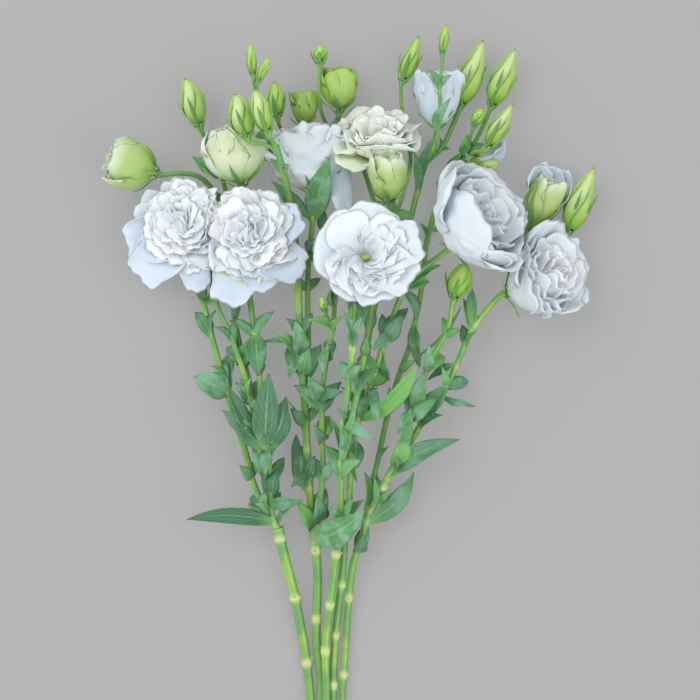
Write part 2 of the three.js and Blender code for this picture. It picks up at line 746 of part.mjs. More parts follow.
        at: [
          [43.5, 140, 20], [55, 158, 20], [67, 178, 19], [77, 191, 19], [84, 204, 19],
          [91, 220, 19], [98, 236, 20], [108, 250, 22],
        ],
      },
      {
        radii: [1.8, 1.7],
        at: [
          [29, 111, 13.6], [32, 130, 12], [37, 150, 10], [43, 178, 8], [51, 207, 8], [58, 226, 8],
          [63, 248, 7], [67, 270, 5], [69, 292, 4], [75, 315, 3], [84, 336, 3], [92, 350, 4],
        ],
      },
      {
        radii: [1.5, 1.4], carries: "bud_tall_right",
        at: [
          [91, 348, 4], [99, 357, 8], [106, 370, 12],
        ],
      },
      {
        radii: [1.4, 1.3], carries: "bud_lean_right",
        at: [
          [90, 346, 4.5], [96, 350, 17], [102, 353, 26],
        ],
      },
      {
        radii: [1.2, 1.1], carries: "bud_ball_right",
        at: [
          [90, 346, 4], [94, 354, 14], [97, 361, 20],
        ],
      },
      { radii: [1.4, 1.3], at: [[86, 340, 3], [91, 342, 9]], carries: "bud_split_right" },
      {
        radii: [1.6, 1.5], carries: "bloom_unfurling",
        at: [
          [71, 303, 3.6], [84, 303, 1.9], [104, 297, 1.7], [120, 297, 3], [130, 299, 7],
        ],
      },
      {
        radii: [1.4, 1.3], carries: "bud_leaf_shaped",
        at: [
          [112, 297, 2.2], [130, 292, 2.6], [146, 291, 4], [154, 295, 8],
        ],
      },
    ],
    leaves: [
      { foot: [44, 142, 21], tip: [90, 166, 30], width: 14, turn: -10, sway: 4 },
      { foot: [30, 112, 14], tip: [61, 144, 10], width: 14, turn: 15, sway: -4 },
      { foot: [33, 120, 14], tip: [35, 141, 28], width: 7, turn: 40 },
      { foot: [50, 155, 24], tip: [58, 187, 38], width: 9, turn: 30 },
      { foot: [61, 187, 29], tip: [66, 209, 40], width: 12, turn: 0 },
      { foot: [60, 184, 28], tip: [50, 170, 36], width: 9, turn: 20 },
      { foot: [70, 182, 20], tip: [83, 202, 28], width: 15, turn: -20, fold: 34 },
      { foot: [79, 193, 20], tip: [101, 187, 22], width: 7, turn: 40, sway: 3 },
      { foot: [87, 214, 20], tip: [70, 204, 12], width: 7, turn: 30 },
      { foot: [66, 222, 6], tip: [92, 253, 10], width: 7, turn: 60 },
      { foot: [100, 240, 20], tip: [99, 264, 16], width: 9, turn: -20 },
      { foot: [97, 236, 20], tip: [93, 258, 14], width: 6, turn: 20 },
      { foot: [61, 240, 8], tip: [65, 212, 14], width: 9, turn: 20 },
      { foot: [86, 340, 4], tip: [92, 353, 17], width: 8, turn: -30 },
    ],
  },
};

// The flowers and buds: where the foot of each sits, which way it faces and what shape it has.
const besideLeft = [{ at: [-66.5, 300, 30], away: [-1, 0.1, 0.1] }];
const besideRight = [
  { at: [-65.5, 300, 30], away: [1, -0.1, -0.1] },
  { at: [-50, 330, 40], away: [0, -1, 0.2] },
];
const flowers = {
  bloom_ruffled_left: {
    stem: "stem_left", foot: [-85, 297, 15], axis: [-0.16, -0.02, 1], form: "ruffled", seed: 3,
    roll: 0.2, material: white, presses: besideLeft, pistil: true,
  },
  bloom_ruffled_right: {
    stem: "stem_left", foot: [-47, 290, 19], axis: [0.08, -0.02, 1], form: "ruffled", seed: 8,
    roll: 0.93, material: white, presses: besideRight,
  },
  bloom_centre: {
    stem: "stem_centre", foot: [30, 282, 44], axis: [-0.04, 0.06, 1], form: "open", seed: 5,
    roll: 0.4, material: white, pistil: true,
  },
  bloom_upper: {
    stem: "stem_centre", foot: [37, 344, 24], axis: [0, 0.85, 0.6], form: "wide", seed: 12,
    roll: 0.3, material: cream,
    presses: [
      { at: [44, 345, 44], away: [0, 0.35, -0.94] },
    ],
  },
  bloom_rear: {
    stem: "stem_rear", foot: [-5, 327, 20], axis: [-0.12, 1, 0.02], form: "fromBehind", seed: 9,
    roll: 0.5, material: white,
    presses: [
      { at: [-34, 350, 20], away: [1, 0, 0] },
      { at: [7, 350, 20], away: [-1, 0, 0] },
      { at: [-20, 345, 37], away: [0, 0, -1] },
      { at: [-12, 350, 9.5], away: [0, 0, 1] },
    ],
  },
  bloom_right: {
    stem: "stem_middle", foot: [85, 291, 49], axis: [0.52, 0.52, 0.68], form: "cupped", seed: 21,
    roll: 0.2, material: white,
    presses: [
      { at: [121, 290, 53], away: [-0.68, 0.61, 0.41] },
    ],
  },
  bloom_far_right: {
    stem: "stem_right", foot: [121, 261, 27], axis: [0.74, 0.24, 0.62], form: "cupped", seed: 33,
    roll: 0.7, scale: 0.96, material: white,
    presses: [
      { at: [121, 290, 51], away: [0.68, -0.61, -0.41] },
    ],
  },
  bloom_half_open: {
    stem: "stem_middle", foot: [76, 370, 17], axis: [0.02, 1, 0.05], form: "halfOpen", seed: 4,
    roll: 0.6, material: white,
  },
  bloom_unfurling: {
    stem: "stem_right", foot: [136, 303, 11], axis: [0.36, 0.91, 0.2], form: "unfurling", seed: 6,
    roll: 0.5, material: cream,
  },
  bud_split_right: {
    stem: "stem_right", foot: [96, 344, 15], axis: [1, 0.1, 0.1], form: "opening", width: 13,
    length: 21, seed: 7, material: white,
  },
  bud_far_left: {
    stem: "stem_left", foot: [-106, 338.5, 30], axis: [-0.93, 0.3, 0.2], form: "opening",
    width: 33, length: 36, seed: 2, material: paleGreen,
  },
  bud_round: {
    stem: "stem_left", foot: [-51, 331, 27], axis: [-0.2, 0.96, 0.1], form: "opening", width: 41,
    length: 37, seed: 14, material: cream,
  },
  bud_round_top: {
    stem: "stem_centre", foot: [12, 380, 14], axis: [0.02, 0.99, 0.14], form: "opening", width: 24,
    length: 27, seed: 15, material: paleGreen,
  },
  bud_centre: {
    stem: "stem_centre", foot: [44.5, 319, 50], axis: [-0.05, 0.93, 0.36], form: "opening",
    width: 23, length: 31, seed: 16, material: paleGreen,
  },
  bud_flat_top: {
    stem: "stem_rear", foot: [-11, 370, 9.5], axis: [0, 0.99, 0.08], form: "opening", width: 17,
    length: 22, seed: 17, material: paleGreen,
  },
  bud_upper_left: {
    stem: "stem_left", foot: [-79, 371, 17], axis: [-0.28, 0.95, 0.12], form: "closed", width: 16,
    length: 32, material: paleGreen,
  },
  bud_behind_left: {
    stem: "stem_rear", foot: [-46.5, 361, 57], axis: [-0.26, 0.95, 0.05], form: "closed",
    width: 17, length: 28, material: paleGreen,
  },
  bud_slim_left: {
    stem: "stem_rear", foot: [-33, 363, 68], axis: [-0.3, 0.94, 0.1], form: "closed", width: 13,
    length: 29, material: paleGreen,
  },
  bud_small_green: {
    stem: "stem_rear", foot: [-28, 377, 20], axis: [-0.1, 0.99, 0.1], form: "closed", width: 12,
    length: 22, material: paleGreen,
  },
  bud_tip_left: {
    stem: "stem_rear", foot: [-43, 401, 48], axis: [-0.1, 0.99, 0], form: "closed", width: 6.5,
    length: 20, material: paleGreen,
  },
  bud_tip_left_side: {
    stem: "stem_rear", foot: [-39, 397, 50], axis: [0.4, 0.9, 0], form: "closed", width: 6,
    length: 16, material: paleGreen,
  },
  bud_star: {
    stem: "stem_rear", foot: [3, 250, 34], axis: [-0.2, 0.9, 0.4], form: "closed", width: 6,
    length: 10, material: paleGreen,
  },
  bud_ball: {
    stem: "stem_centre", foot: [0, 411, 27], axis: [0, 1, 0], form: "closed", width: 9, length: 11,
    material: paleGreen,
  },
  bud_pointed_top: {
    stem: "stem_centre", foot: [54, 400, 20], axis: [0.34, 0.94, 0.08], form: "closed", width: 11,
    length: 28, material: paleGreen,
  },
  bud_tip_right: {
    stem: "stem_middle", foot: [79, 416, 37], axis: [0.12, 0.99, 0], form: "closed", width: 6,
    length: 18, material: paleGreen,
  },
  bud_striped: {
    stem: "stem_middle", foot: [92, 385, 13.5], axis: [0.32, 0.94, 0.12], form: "closed",
    width: 17, length: 41, material: paleGreen,
  },
  bud_tall_right: {
    stem: "stem_right", foot: [112, 384, 15], axis: [0.38, 0.92, 0.1], form: "closed", width: 16,
    length: 37, material: paleGreen,
  },
  bud_lean_right: {
    stem: "stem_right", foot: [108.5, 356, 30], axis: [0.5, 0.85, 0.05], form: "closed", width: 12,
    length: 32, material: paleGreen,
  },
  bud_ball_right: {
    stem: "stem_right", foot: [100, 370, 25], axis: [0.4, 0.9, 0.1], form: "closed", width: 8.5,
    length: 12, material: paleGreen,
  },
  bud_leaf_shaped: {
    stem: "stem_right", foot: [162, 302, 14], axis: [0.36, 0.93, 0.1], form: "closed", width: 18,
    length: 41, material: paleGreen,
  },
  bud_drop: {
    stem: "stem_right", foot: [87, 258, 29], axis: [0.3, 0.95, 0.1], form: "closed", width: 17,
    length: 24, material: paleGreen,
  },
};

const isSmall = (flower) => flower.width < smallBud;

function flowerSeat(flower) {
  if (isSmall(flower)) return { cup: smallCupRadius };
  return { cup: cupRadius, calyx: calyxOf(flower) };
}

function shootSolid(shoot) {
  const places = shoot.at.map(point);
  const flower = flowers[shoot.carries];
  if (flower) {
    const axis = point(flower.axis).normalize();
    places.push(point(flower.foot).addScaledVector(axis, -straightEnd), point(flower.foot));
  }
  const thick = shoot.radii[0] > thickStem;
  const [sides, step] = thick ? [stemSides, stemStep] : [stalkSides, stalkStep];
  return stalk(places, { ...shoot, sides, step, ...(flower && flowerSeat(flower)) });
}

// What lies under the surface is taken off, which leaves the small flats that the bunch rests on.
function standingOnSurface(solid) {
  const depth = 50;
  const span = 1200;
  const slab = new THREE.BoxGeometry(span, span, depth).translate(0, 0, -depth / 2);
  const places = [];
  const positions = slab.attributes.position;
  for (let i = 0; i < positions.count; i++) {
    places.push(new THREE.Vector3().fromBufferAttribute(positions, i));
  }
  return solid.subtract(solidOf(places, [...slab.index.array]));
}

const stemSolid = ({ shoots, leaves }) => joined([...shoots.map(shootSolid), ...leaves.map(leaf)]);

// A named mesh of the solid. A scrap that came loose in the joining is left out.
function meshOf(name, solid, material) {
  const pieces = solid.decompose().sort((a, b) => b.volume() - a.volume());
  const { vertProperties, triVerts } = pieces[0].getMesh();
  const geometry = new THREE.BufferGeometry();
  geometry.setAttribute("position", new THREE.BufferAttribute(new Float32Array(vertProperties), 3));
  geometry.setIndex(new THREE.BufferAttribute(new Uint32Array(triVerts), 1));
  geometry.computeVertexNormals();
  const mesh = new THREE.Mesh(geometry, material);
  mesh.name = name;
  return mesh;
}

const bunch = new THREE.Group();
for (const [name, stem] of Object.entries(stems)) {
  bunch.add(meshOf(name, standingOnSurface(stemSolid(stem)), freshGreen));
}
for (const [name, flower] of Object.entries(flowers)) {
  const solid = flower.form === "closed" ? budBody(flower, directionsOf(flower)) : bloom(flower);
  bunch.add(meshOf(name, standingOnSurface(solid), flower.material));
  if (flower.pistil) bunch.add(meshOf(name.replace("bloom", "pistil"), pistil(flower), pistilGreen));
}

export default bunch;
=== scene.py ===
# A bunch of five cut stems of white double lisianthus, laid down on a grey surface.
import math

import bpy
import numpy as np
from mathutils import Matrix, Vector


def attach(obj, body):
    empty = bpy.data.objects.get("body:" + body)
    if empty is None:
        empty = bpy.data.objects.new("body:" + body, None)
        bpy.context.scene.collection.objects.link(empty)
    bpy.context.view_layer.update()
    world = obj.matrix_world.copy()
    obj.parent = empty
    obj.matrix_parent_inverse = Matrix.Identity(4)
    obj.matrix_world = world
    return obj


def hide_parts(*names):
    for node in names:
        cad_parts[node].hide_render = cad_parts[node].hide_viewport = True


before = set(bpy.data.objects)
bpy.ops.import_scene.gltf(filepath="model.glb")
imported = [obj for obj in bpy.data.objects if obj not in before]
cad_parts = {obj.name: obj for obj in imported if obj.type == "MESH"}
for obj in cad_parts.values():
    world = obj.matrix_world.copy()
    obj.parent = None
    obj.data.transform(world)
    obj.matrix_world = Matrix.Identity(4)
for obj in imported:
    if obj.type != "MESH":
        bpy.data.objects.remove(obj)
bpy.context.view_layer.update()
print("frame:", len(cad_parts), "nodes")

mm = 0.001  # sizes of the bunch are in millimetres, those of the stage and of meshes in metres
fullTurn = 2 * math.pi
skyward = np.array((0, 0, 1.0))


def unit(vector):
    vector = np.asarray(vector, float)
    return vector / np.linalg.norm(vector)


def mix(low, high, share):
    return low + (high - low) * share


def smoothStep(low, high, value):
    share = np.clip((value - low) / (high - low), 0, 1)
    return share * share * (3 - 2 * share)


# the same draws on every run
def drawsFrom(seed):
    modulus = 2147483647
    state = seed * 7919 + 12345

    def draw(low, high):
        nonlocal state
        state = (state * 16807) % modulus
        return mix(low, high, state / modulus)

    return draw


# a gentle unevenness over a sheet, from four crossing waves of the pitch given in mm
def unevenness(draw, right, ahead, pitch):
    total = 0
    for turn in (0.3, 1.1, 2.0, 2.8):
        turn += draw(-0.4, 0.4)
        scale = fullTurn / (pitch * draw(0.7, 1.5))
        wave = right * math.cos(turn) + ahead * math.sin(turn)
        total = total + np.sin(wave * scale + draw(0, fullTurn))
    return total / 4


# columns from -1 to 1 across a sheet, and rows from 0 to 1 along it
def sheetGrid(cols, rows):
    return np.linspace(-1, 1, cols + 1)[None, :], np.linspace(0, 1, rows + 1)[:, None]


def ringAngles(sides):
    return np.linspace(0, fullTurn, sides, endpoint=False)


# meshes

# A pile gathers the points and faces of one piece, and the marks that its material reads: how far
# across and along its sheet a point is, and the sheet's own tint.
def newPile():
    return {"points": [], "quads": [], "threes": [np.zeros((0, 3), int)], "marks": []}


def addPoints(pile, points, across, along, tint):
    start = sum(len(part) for part in pile["points"])
    pile["points"].append(points)
    pile["marks"].append(np.stack([across, along, np.full(len(points), tint)], axis=1))
    return start


# a thin closed blade round a curved middle sheet, which thins to an edge all round
def addBlade(pile, middle, thickness, tint=0.0):
    rows, cols = middle.shape[:2]
    normal = np.cross(np.gradient(middle, axis=1), np.gradient(middle, axis=0))
    normal /= np.maximum(np.linalg.norm(normal, axis=2, keepdims=True), 1e-9)
    inner = np.zeros((rows, cols), bool)
    inner[1:-1, 1:-1] = True
    lift = normal * (thickness / 2) * inner[..., None]
    across, along = np.broadcast_arrays(*sheetGrid(cols - 1, rows - 1))
    front = np.arange(rows * cols).reshape(rows, cols)
    back = front.copy()
    back[inner] = rows * cols + np.arange(inner.sum())
    points = np.concatenate([(middle + lift).reshape(-1, 3), (middle - lift)[inner]])
    across, along = [np.concatenate([mark.ravel(), mark[inner]]) for mark in (across, along)]
    start = addPoints(pile, points, across, along, tint)
    for side, order in ((front, 1), (back, -1)):
        faces = np.stack([side[:-1, :-1], side[:-1, 1:], side[1:, 1:], side[1:, :-1]], axis=2)
        pile["quads"].append(faces.reshape(-1, 4)[:, ::order] + start)


# a closed skin over rings of equal count, from the foot to the tip
def addSkin(pile, rings, tint=0.0):
    rows, sides = rings.shape[:2]
    places = np.arange(rows * sides).reshape(rows, sides)
    across = np.append(np.tile(np.linspace(-1, 1, sides, endpoint=False), rows), [0, 0])
    along = np.append(np.repeat(np.linspace(0, 1, rows), sides), [0, 1])
    points = np.concatenate([rings.reshape(-1, 3), rings[[0, -1]].mean(axis=1)])
    start = addPoints(pile, points, across, along, tint)
    beside = np.roll(places, -1, axis=1)
    faces = np.stack([places[:-1], beside[:-1], beside[1:], places[1:]], axis=2)
    pile["quads"].append(faces.reshape(-1, 4) + start)
    for first, second, middle in ((beside[0], places[0], 0), (places[-1], beside[-1], 1)):
        middle = np.full(sides, rows * sides + middle)
        pile["threes"].append(np.stack([first, second, middle], axis=1) + start)


def addMarks(mesh, names, columns):
    for name, column in zip(names, np.asarray(columns, np.float32).T):
        layer = mesh.attributes.new(name, "FLOAT", "POINT")
        layer.data.foreach_set("value", np.ascontiguousarray(column))


def objectOf(name, data):
    made = bpy.data.objects.new(name, data)
    bpy.context.scene.collection.objects.link(made)
    return made


def meshOf(name, pile, scale, marks=("across", "along", "tint")):
    points = (np.concatenate(pile["points"]) * scale).tolist()
    quads, threes = np.concatenate(pile["quads"]), np.concatenate(pile["threes"])
    mesh = bpy.data.meshes.new(name)
    mesh.from_pydata(points, [], quads.tolist() + threes.tolist(), shade_flat=False)
    addMarks(mesh, marks, np.concatenate(pile["marks"]))
    return mesh


# says what a finished piece rides on and stands for
def finish(piece, node):
    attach(piece, "root")
    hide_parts(node)
    top = max(vertex.co.z for vertex in piece.data.vertices) / mm
    print("piece:", piece.name, len(piece.data.polygons), "faces, up to", round(top, 1), "mm")


def makePiece(name, pile, material, node):
    mesh = meshOf(name, pile, mm)
    mesh.materials.append(material)
    finish(objectOf(name, mesh), node)


# materials

def linearColour(code):
    shares = [int(code[i:i + 2], 16) / 255 for i in (1, 3, 5)]
    return tuple(c / 12.92 if c <= 0.04045 else ((c + 0.055) / 1.055) ** 2.4 for c in shares) + (1,)


# Adds a node with its settings and its inputs, each a value, a colour's code or an output of
# another node, and gives one of its own outputs.
def addNode(tree, kind, inputs=(), output=0, **settings):
    node = tree.nodes.new(kind)
    for key, value in settings.items():
        setattr(node, key, value)
    for key, value in dict(inputs).items():
        if isinstance(value, bpy.types.NodeSocket):
            tree.links.new(value, node.inputs[key])
        else:
            coded = isinstance(value, str) and value.startswith("#")
            node.inputs[key].default_value = linearColour(value) if coded else value
    return node.outputs[output]


mathNode, markNode, rangeNode = "ShaderNodeMath", "ShaderNodeAttribute", "ShaderNodeMapRange"


# a cloudy pattern of patches of about the size given in mm
def mottling(tree, size):
    place = addNode(tree, "ShaderNodeTexCoord", output="Object")
    inputs = {"Vector": place, "Scale": 1 / (size * mm), "Detail": 2, "Roughness": 0.55}
    return addNode(tree, "ShaderNodeTexNoise", inputs)


# Lays colours over the first one. A colour's share is its value, or its value times a strength,
# or it grows to a strength as its value goes from one limit to another.
def layColours(tree, look, first, layers):
    colour = look[first]
    for tone, share, *limits in layers:
        if len(limits) == 1:
            share = addNode(tree, mathNode, {0: share, 1: limits[0]}, operation="MULTIPLY")
        elif limits:
            inputs = dict(zip(("Value", "From Min", "From Max", "To Max"), (share, *limits)))
            share = addNode(tree, rangeNode, inputs, interpolation_type="SMOOTHSTEP")
        inputs = {0: share, 6: colour, 7: look[tone]}
        colour = addNode(tree, "ShaderNodeMix", inputs, 2, data_type="RGBA")
    return colour


# relief is how strongly the height shows, and how many mm deep it is
def finishSkin(material, colour, height, relief, values):
    tree = material.node_tree
    shader = tree.nodes["Principled BSDF"]
    inputs = {"Strength": relief[0], "Distance": relief[1] * mm, "Height": height}
    tree.links.new(colour, shader.inputs["Base Color"])
    tree.links.new(addNode(tree, "ShaderNodeBump", inputs), shader.inputs["Normal"])
    for key, value in values.items():
        shader.inputs[key].default_value = value
    return material


def newMaterial(name, *marks):
    material = bpy.data.materials.new(name)
    material.use_nodes = True
    tree = material.node_tree
    return material, tree, *[addNode(tree, markNode, (), "Fac", attribute_name=mark) for mark in marks]


# Petals of a living flower: a waxy skin over watery cells. Light passes a little into them, so
# their shadows stay pale, and a dull sheen lies on the skin. Fine veins run from the foot to the
# rim and wander a little, on a white petal 34 mm wide about a millimetre apart.
def petalSkin(name, look):
    material, tree, across, along, tint = newMaterial(name, "across", "along", "tint")
    side = addNode(tree, mathNode, {0: across}, operation="ABSOLUTE")
    vein = addNode(tree, mathNode, {0: mottling(tree, 9), 1: 0.05, 2: across}, operation="MULTIPLY_ADD")
    for operation, other in (
        ("MULTIPLY", look["veins"] * math.pi / 2), ("SINE", 0), ("ABSOLUTE", 0), ("POWER", 6),
    ):
        vein = addNode(tree, mathNode, {0: vein, 1: other}, operation=operation)
    # above a tint of 1.6 the foot's colour reaches to the middle of the petal
    inputs = {"Value": tint, "From Min": 1.2, "From Max": 1.6}
    longer = addNode(tree, rangeNode, inputs, interpolation_type="SMOOTHSTEP")
    raised = addNode(tree, mathNode, {0: along, 1: longer}, operation="SUBTRACT")
    feet = []
    for value, begin, end in ((along, *look["footReach"]), (raised, -0.5, -0.28)):
        inputs = {"Value": value, "From Min": end, "From Max": begin}
        feet.append(addNode(tree, rangeNode, inputs, interpolation_type="SMOOTHSTEP"))
    colour = layColours(tree, look, "body", [
        ("cloud", mottling(tree, 14), 0.35, 0.65, 1),
        ("other", tint, 0.1, 1, 1),
        # on white petals a lighter inner colour, painted light in the shaded folds
        ("inner", tint, -0.1, -1, 1),
        ("foot", addNode(tree, mathNode, enumerate(feet), operation="MAXIMUM")),
        ("edge", side, *look["edgeReach"], look["edgeShare"]),
        ("rim", along, *look["rimReach"], look["rimShare"]),
        ("vein", vein, look["veinShare"]),
    ])
    height = addNode(tree, mathNode, {0: vein, 1: look["veinHeight"]}, operation="MULTIPLY")
    inputs = {0: mottling(tree, 1.6), 1: 0.9, 2: height}
    height = addNode(tree, mathNode, inputs, operation="MULTIPLY_ADD")
    return finishSkin(material, colour, height, (0.35, 0.25), {
        "Roughness": look["roughness"], "IOR": 1.4, "Subsurface Weight": look["depth"],
        "Subsurface Radius": (1, 1, 1), "Subsurface Scale": look["scatter"] * mm, "Sheen Weight": 0.08,
    })


# Leaves of this plant have a thick grey-blue bloom of wax over green, which gives them a soft
# sheen. Three pale veins run along each, and thin ones branch off the middle one at a slant.
def leafSkin(name, look):
    material, tree, across, along, tint = newMaterial(name, "across", "along", "tint")
    side = addNode(tree, mathNode, {0: across}, operation="ABSOLUTE")
    lines = addNode(tree, mathNode, {0: side, 1: -0.31, 2: along}, operation="MULTIPLY_ADD")
    for operation, other in (
        ("MULTIPLY", look["branches"] * math.pi), ("SINE", 0), ("ABSOLUTE", 0), ("POWER", 12),
        ("MULTIPLY", 0.25),
    ):
        lines = addNode(tree, mathNode, {0: lines, 1: other}, operation=operation)
    away = addNode(tree, mathNode, {0: side, 1: 0.46}, operation="SUBTRACT")
    away = addNode(tree, mathNode, {0: away}, operation="ABSOLUTE")
    for value, reach, begin, strength in ((side, 0.09, 0.02, 1), (away, 0.05, 0, 0.5)):
        inputs = {"Value": value, "From Min": reach, "From Max": begin, "To Max": strength}
        line = addNode(tree, rangeNode, inputs, interpolation_type="SMOOTHSTEP")
        lines = addNode(tree, mathNode, {0: lines, 1: line}, operation="ADD")
    colour = layColours(tree, look, "green", [
        ("blue", mottling(tree, 11), 0.4, 0.62, 1),
        ("fresh", tint, 0.2, 1, 1),
        ("dark", tint, -0.2, -1, 1),
        ("worn", tint, 1.4, 1.8, 1),
        ("foot", along, 0.28, 0, 1),
        ("vein", lines, 0.5),
        ("edge", side, 0.9, 1, 0.5),
    ])
    sunk = addNode(tree, mathNode, {0: mottling(tree, 1.2), 1: 0.7}, operation="MULTIPLY")
    sunk = addNode(tree, mathNode, {0: sunk, 1: lines}, operation="SUBTRACT")
    return finishSkin(material, colour, sunk, (0.5, 0.3), {
        "Roughness": look["roughness"], "IOR": 1.42, "Subsurface Weight": 0.06,
        "Subsurface Scale": 1 * mm, "Sheen Weight": 0.15,
    })


# Stems are smooth, juicy and faintly ridged along. Their joints are paler, where leaves were.
def stemSkin(name, look):
    material, tree, ridge, shade, joint = newMaterial(name, "around", "shade", "joint")
    for operation, other, added in (
        ("MULTIPLY", fullTurn * look["ridges"], 0), ("SINE", 0, 0), ("MULTIPLY_ADD", 0.5, 0.5),
    ):
        ridge = addNode(tree, mathNode, {0: ridge, 1: other, 2: added}, operation=operation)
    colour = layColours(tree, look, "green", [
        ("blue", mottling(tree, 16), 0.4, 0.6, 1),
        ("yellow", mottling(tree, 26), 0.5, 0.66, 1),
        ("olive", shade),
        # dark stripes along the ridges: the stem's own faint stripes, deepened as painted shade
        ("groove", ridge, 0.35),
        ("joint", joint),
    ])
    inputs = {0: mottling(tree, 1.5), 1: 0.6, 2: ridge}
    height = addNode(tree, mathNode, inputs, operation="MULTIPLY_ADD")
    return finishSkin(material, colour, height, (0.4, 0.3), {
        "Roughness": look["roughness"], "IOR": 1.42, "Subsurface Weight": 0.08,
        "Subsurface Scale": 1 * mm,
    })


# Colours and how they lie: a reach is from where to where a colour grows along or across the petal,
# veins is how many lie side by side, and scatter is how many mm light goes into it.
# On white petals inner, the colour of the petals inside, is lighter than body: painted light that lifts
# the shade in the folds at the middle.
petalLook = dict(
    body="#dfe8ee", cloud="#d8e3eb", other="#cedcec", inner="#f7fafc", foot="#dbe6ae",
    footReach=(0.02, 0.34), edge="#eef5f9", edgeReach=(0.8, 1.0), edgeShare=0.4, rim="#f2f7fa",
    rimReach=(0.86, 1.0), rimShare=0.35, vein="#d6e1eb", veins=34, veinShare=0.25, veinHeight=1,
    roughness=0.6, depth=0.1, scatter=1.5,
)
# a darker copy of the white petals: painted shade for the two blooms that lie in shade
shadedWhiteLook = dict(
    petalLook, body="#dae3e9", cloud="#d3dde4", other="#d0dce7", inner="#e4ebef", edge="#e4ebf0",
    rim="#e8eef2", vein="#cfd9e1", depth=0.14,
)
creamWhiteLook = dict(
    petalLook, body="#edf3ef", cloud="#e6ede5", other="#dde8ca", inner="#f3f7f2", foot="#c3d68a",
    vein="#d5e1c2", edge="#e9f1dc", edgeReach=(0.86, 1.0), edgeShare=0.6, rim="#f3f8f0", rimShare=0.6,
)
# The foot of these petals is their own green, made brighter as painted light where the underside lies in
# shade.
creamLook = dict(
    creamWhiteLook, body="#e8efe5", cloud="#dde7d4", other="#eff4ea", inner="#cfddb4",
    foot="#b0da6a", footReach=(0.0, 0.42), vein="#d3dfb8", edge="#c4d69e", rim="#edf3e3",
)
budLook = dict(
    petalLook, body="#b5d17c", cloud="#a5c868", other="#d4e5b0", inner="#a7c86a", foot="#82b436",
    footReach=(0.0, 0.6), edge="#7fac3a", edgeReach=(0.55, 0.98), edgeShare=0.85, rim="#9dc358",
    rimShare=0.6, vein="#98bc55", veins=16, veinShare=0.4, veinHeight=0.35, roughness=0.5,
    depth=0.15, scatter=2.5,
)
tightGreenLook = dict(
    budLook, body="#a6d160", cloud="#97c650", other="#bcdc84", inner="#98c850", edge="#86bb3c",
    rim="#a8cf66",
)
halfGreenLook = dict(
    budLook, body="#bdd48e", cloud="#adc972", other="#dae6c4", inner="#a6c376", foot="#94c248",
    footReach=(0.0, 0.62), edge="#a4c464", edgeReach=(0.72, 1.0), rim="#e7efe2",
    rimReach=(0.68, 1.0), rimShare=0.65, vein="#b4cb82", veinShare=0.2,
)
leafLook = dict(
    green="#579258", blue="#79aa8b", fresh="#74b45c", dark="#3d7050", foot="#7bae5b", worn="#c0d084",
    vein="#94c090", edge="#9cc386", branches=8, roughness=0.38,
)
sepalLook = dict(
    leafLook, green="#6eaa48", blue="#66a154", fresh="#8bbf54", dark="#508a46", foot="#5f9e42",
    vein="#98c86c", edge="#a2ce76",
)
stemLook = dict(
    green="#82b95d", blue="#75ab68", yellow="#9fc865", olive="#6d8845", groove="#4c8439",
    joint="#cdda94", ridges=6, roughness=0.42,
)
pistilLook = dict(
    petalLook, body="#a3ae62", cloud="#98a556", other="#b3bc78", inner="#9ba756", foot="#8fa252",
    edge="#a5b066", rim="#b9be74", vein="#939f50", depth=0.2, scatter=1,
)

skins = {
    "leaf": leafSkin("leafWaxy", leafLook),
    "sepal": leafSkin("sepalWaxy", sepalLook),
    "stem": stemSkin("stemSkin", stemLook),
}
slots = {}  # of the record, for each kind of petal
for key, slot, name, look in (
    ("white", "petal_white", "petalWhite", petalLook),
    ("shadedWhite", "petal_white", "petalGreyWhite", shadedWhiteLook),
    ("creamWhite", "petal_cream", "petalCreamWhite", creamWhiteLook),
    ("cream", "petal_cream", "petalCream", creamLook),
    ("paleGreen", "bud_green", "petalGreen", budLook),
    ("tightGreen", "bud_green", "petalTightGreen", tightGreenLook),
    ("halfGreen", "bud_green", "petalHalfGreen", halfGreenLook),
    ("pistil", "pistil", "pistilFlesh", pistilLook),
):
    skins[key], slots[key] = petalSkin(name, look), slot
print("materials:", len(skins))

# stems

